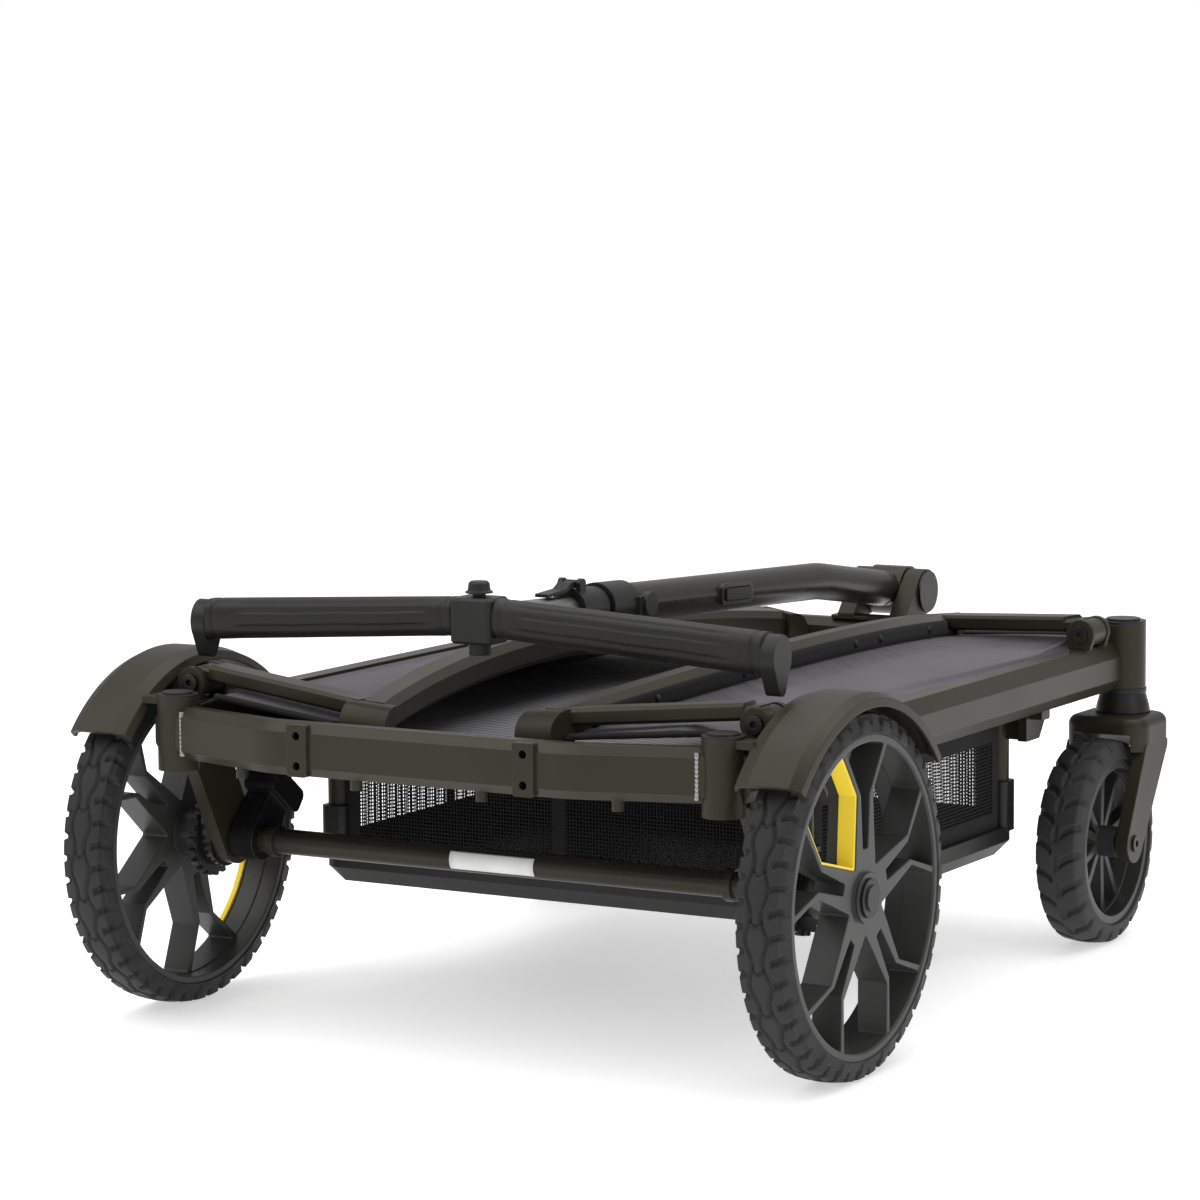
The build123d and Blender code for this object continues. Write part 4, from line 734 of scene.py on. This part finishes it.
def stud(centre, away, sides=16):
    """A small domed stud that stands on centre and points away."""
    up = Vector((0, 1, 0)).cross(away)
    profile = [(0.5, 3.2), (2.0, 3.2), (2.9, 2.3), (3.2, 0.9)]
    ring = []
    for out, radius in profile:
        for turn in np.linspace(0, 2 * pi, sides, endpoint=False):
            across = Vector((0, cos(turn), 0)) + up * sin(turn)
            ring.append(centre + away * out * mm + across * radius * mm)
    faces = [tuple(f) for f in grid_faces(len(profile), sides, wrap_columns=True)]
    faces += [tuple(range(sides)), tuple(range(len(ring) - sides, len(ring)))]
    return ring, faces


def add_wall_strips():
    """Dark strip with small studs that holds the cloth to the side of each wall's rail."""
    strip_thick, end_gap = 1.2 * mm, 26 * mm
    for side, sx in SIDES:
        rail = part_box(f"wall_rail_{side}")
        ys = np.linspace(rail[0].y + end_gap, rail[1].y - end_gap, 60)
        arch = rail_arch(ys, *rail)
        us = RAIL_SIDE - WALL_DIP * arch
        ns = RAIL_HEIGHT + WALL_BOW * arch
        face = np.array([[wall_point(side, sx, u, y, n + rise * mm) for rise in (-6.5, -2.2, 2.2, 6.5)]
                         for u, y, n in zip(us, ys, ns)])
        away = wall_point(side, sx, 0, 0, 0) - wall_point(side, sx, 1, 0, 0)
        strip = make_piece(f"wall_strip_{side}", *slab(face, np.array(away) * strip_thick), "fabric",
                           material=BINDING)
        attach(strip, f"wall_{side}")
        studs = [stud(wall_point(side, sx, us[k], ys[k], ns[k]), away) for k in (7, 18, 24, 36, 41, 53)]
        piece = make_piece(f"wall_studs_{side}", *join_parts(studs), "dark_plastic")
        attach(piece, f"wall_{side}")


# ---------------------------------------------------------------- foot well netting and binding
def add_netting():
    """Four net windows of crossed yarns round the foot well, with cloth bands above and below them."""
    low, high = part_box("footwell_mesh")
    yarn, pitch, band = 0.85 * mm, 2.9 * mm, 13 * mm
    corner = 15 * mm
    bottom, top = low.z + band, high.z - band * 1.4
    nets, bands = [], []
    sheet = 1.2 * mm
    walls = (
        ("x", low.x, low.y + corner, high.y - corner), ("x", high.x - sheet, low.y + corner, high.y - corner),
        ("y", low.y, low.x + corner, high.x - corner), ("y", high.y - sheet, low.x + corner, high.x - corner),
    )
    for facing, place, start, end in walls:
        def bar(a0, a1, z0, z1, inset=0.0, thick=0.5 * mm):
            if facing == "x":
                return box_strip((place + inset, a0, z0), (place + inset + thick, a1, z1))
            return box_strip((a0, place + inset, z0), (a1, place + inset + thick, z1))
        for a in np.arange(start, end, pitch):
            nets.append(bar(a, a + yarn, bottom - 3 * mm, top + 3 * mm))
        for z in np.arange(bottom, top, pitch):
            nets.append(bar(start, end, z, z + yarn, inset=0.35 * mm))
        bands.append(bar(start, end, low.z, bottom, thick=sheet))
        bands.append(bar(start, end, top, high.z, thick=sheet))
        for a in (start, (start + end) / 2 - 8 * mm, end - 12 * mm):
            bands.append(bar(a, a + 12 * mm, bottom, top, inset=-0.1 * mm, thick=1.3 * mm))
    net = make_piece("well_netting", *join_parts(nets), "mesh", smooth=False)
    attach(net, "base")
    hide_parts("footwell_mesh")
    trim = make_piece("well_binding", *join_parts(bands), "mesh", smooth=False, material=BINDING)
    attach(trim, "base")


# ---------------------------------------------------------------- floor mat
def add_mat():
    """A thin ribbed pad over the floor and the foot well, with a rounded edge and soft hollows."""
    low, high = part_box("floor_mat")
    rows, columns = 96, 86
    spread = np.linspace(-1, 1, columns)
    along = np.linspace(-1, 1, rows)
    xs = (low.x + high.x) / 2 + (high.x - low.x) / 2 * near_edges(spread)
    ys = (low.y + high.y) / 2 + (high.y - low.y) / 2 * near_edges(along)
    gx, gy = np.meshgrid(xs, ys)
    inset = np.minimum(np.minimum(gx - low.x, high.x - gx), np.minimum(gy - low.y, high.y - gy))
    share = np.clip(inset / (5 * mm), 0, 1)
    rim = np.sqrt(share * (2 - share))
    swell = 1.3 * mm * np.sin(gx / (61 * mm) + 0.7) * np.sin(gy / (83 * mm))
    swell += 0.6 * mm * np.sin(gx / (23 * mm) + gy / (40 * mm))
    height = low.z + 1.2 * mm + (3.4 * mm + swell) * rim
    top = np.stack([gx, gy, height], -1)
    down = np.zeros_like(top)
    down[..., 2] = low.z + 0.1 * mm - height
    vertices, faces = slab(top, down)
    piece = make_piece("ribbed_mat", vertices, faces, "mat")
    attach(piece, "base")
    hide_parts("floor_mat")


# ---------------------------------------------------------------- small trim
def add_weld_beads():
    """Rippled beads where the rear crossbar meets its sockets."""
    bead_x, bead_y, bottom_z, top_z = 226.2 * mm, -380.3 * mm, 214.5 * mm, 249.0 * mm
    count, sides = 34, 12
    radii = [(2.0 + 0.55 * abs(sin(pi * k / 3.2))) * mm for k in range(count)]
    parts = []
    for sx in (-1, 1):
        points = [Vector((sx * bead_x, bead_y, z)) for z in np.linspace(bottom_z, top_z, count)]
        vertices, faces = tube_along(points, 1.0, sides=sides, flat=(1, 0, 0))
        shaped = []
        for index, vertex in enumerate(vertices):
            centre = points[index // sides]
            shaped.append(centre + (Vector(vertex) - centre) * radii[index // sides])
        parts.append((shaped, faces))
    piece = make_piece("weld_beads", *join_parts(parts), "frame", material=WELD)
    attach(piece, "base")


def add_label():
    """A blank label wrapped round the rear of the axle tube."""
    radius, thick = 10.35 * mm, 0.25 * mm
    turns = np.radians(np.linspace(180 - 42, 180 + 42, 14))
    xs = np.linspace(-37 * mm, 38 * mm, 12)
    top = np.array([[(x, rear_axle.y + radius * cos(t), rear_axle.z + radius * sin(t)) for x in xs]
                    for t in turns])
    inward = np.array([[(0, -thick * cos(t), -thick * sin(t)) for x in xs] for t in turns])
    paper = Finish("blank_label", roughness=0.45)
    tone = paper.ramp(paper.noise(60.0), ((0.3, (0.70, 0.70, 0.69)), (0.7, (0.78, 0.78, 0.77))))
    paper.set(Base_Color=tone, Normal=paper.bump(paper.noise(500.0), 0.1, 0.0001))
    piece = make_piece("axle_label", *slab(top, inward), "dark_plastic", material=paper.material)
    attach(piece, "base")


# ---------------------------------------------------------------- make it all
def dress_nodes():
    """Every CAD node that stays visible takes the finish of its slot."""
    slots = {entry["node"]: entry["material_slot"] for entry in frame["record"]["subparts"]}
    for name, node in frame["nodes"].items():
        node.data.materials.clear()
        node.data.materials.append(FINISHES[slots[name]])
        for polygon in node.data.polygons:
            polygon.material_index = 0


add_camera()
add_studio()
dress_nodes()
add_tyres()
add_grips()
add_wall_fabric()
add_hems()
add_wall_strips()
add_netting()
add_mat()
add_weld_beads()
add_label()
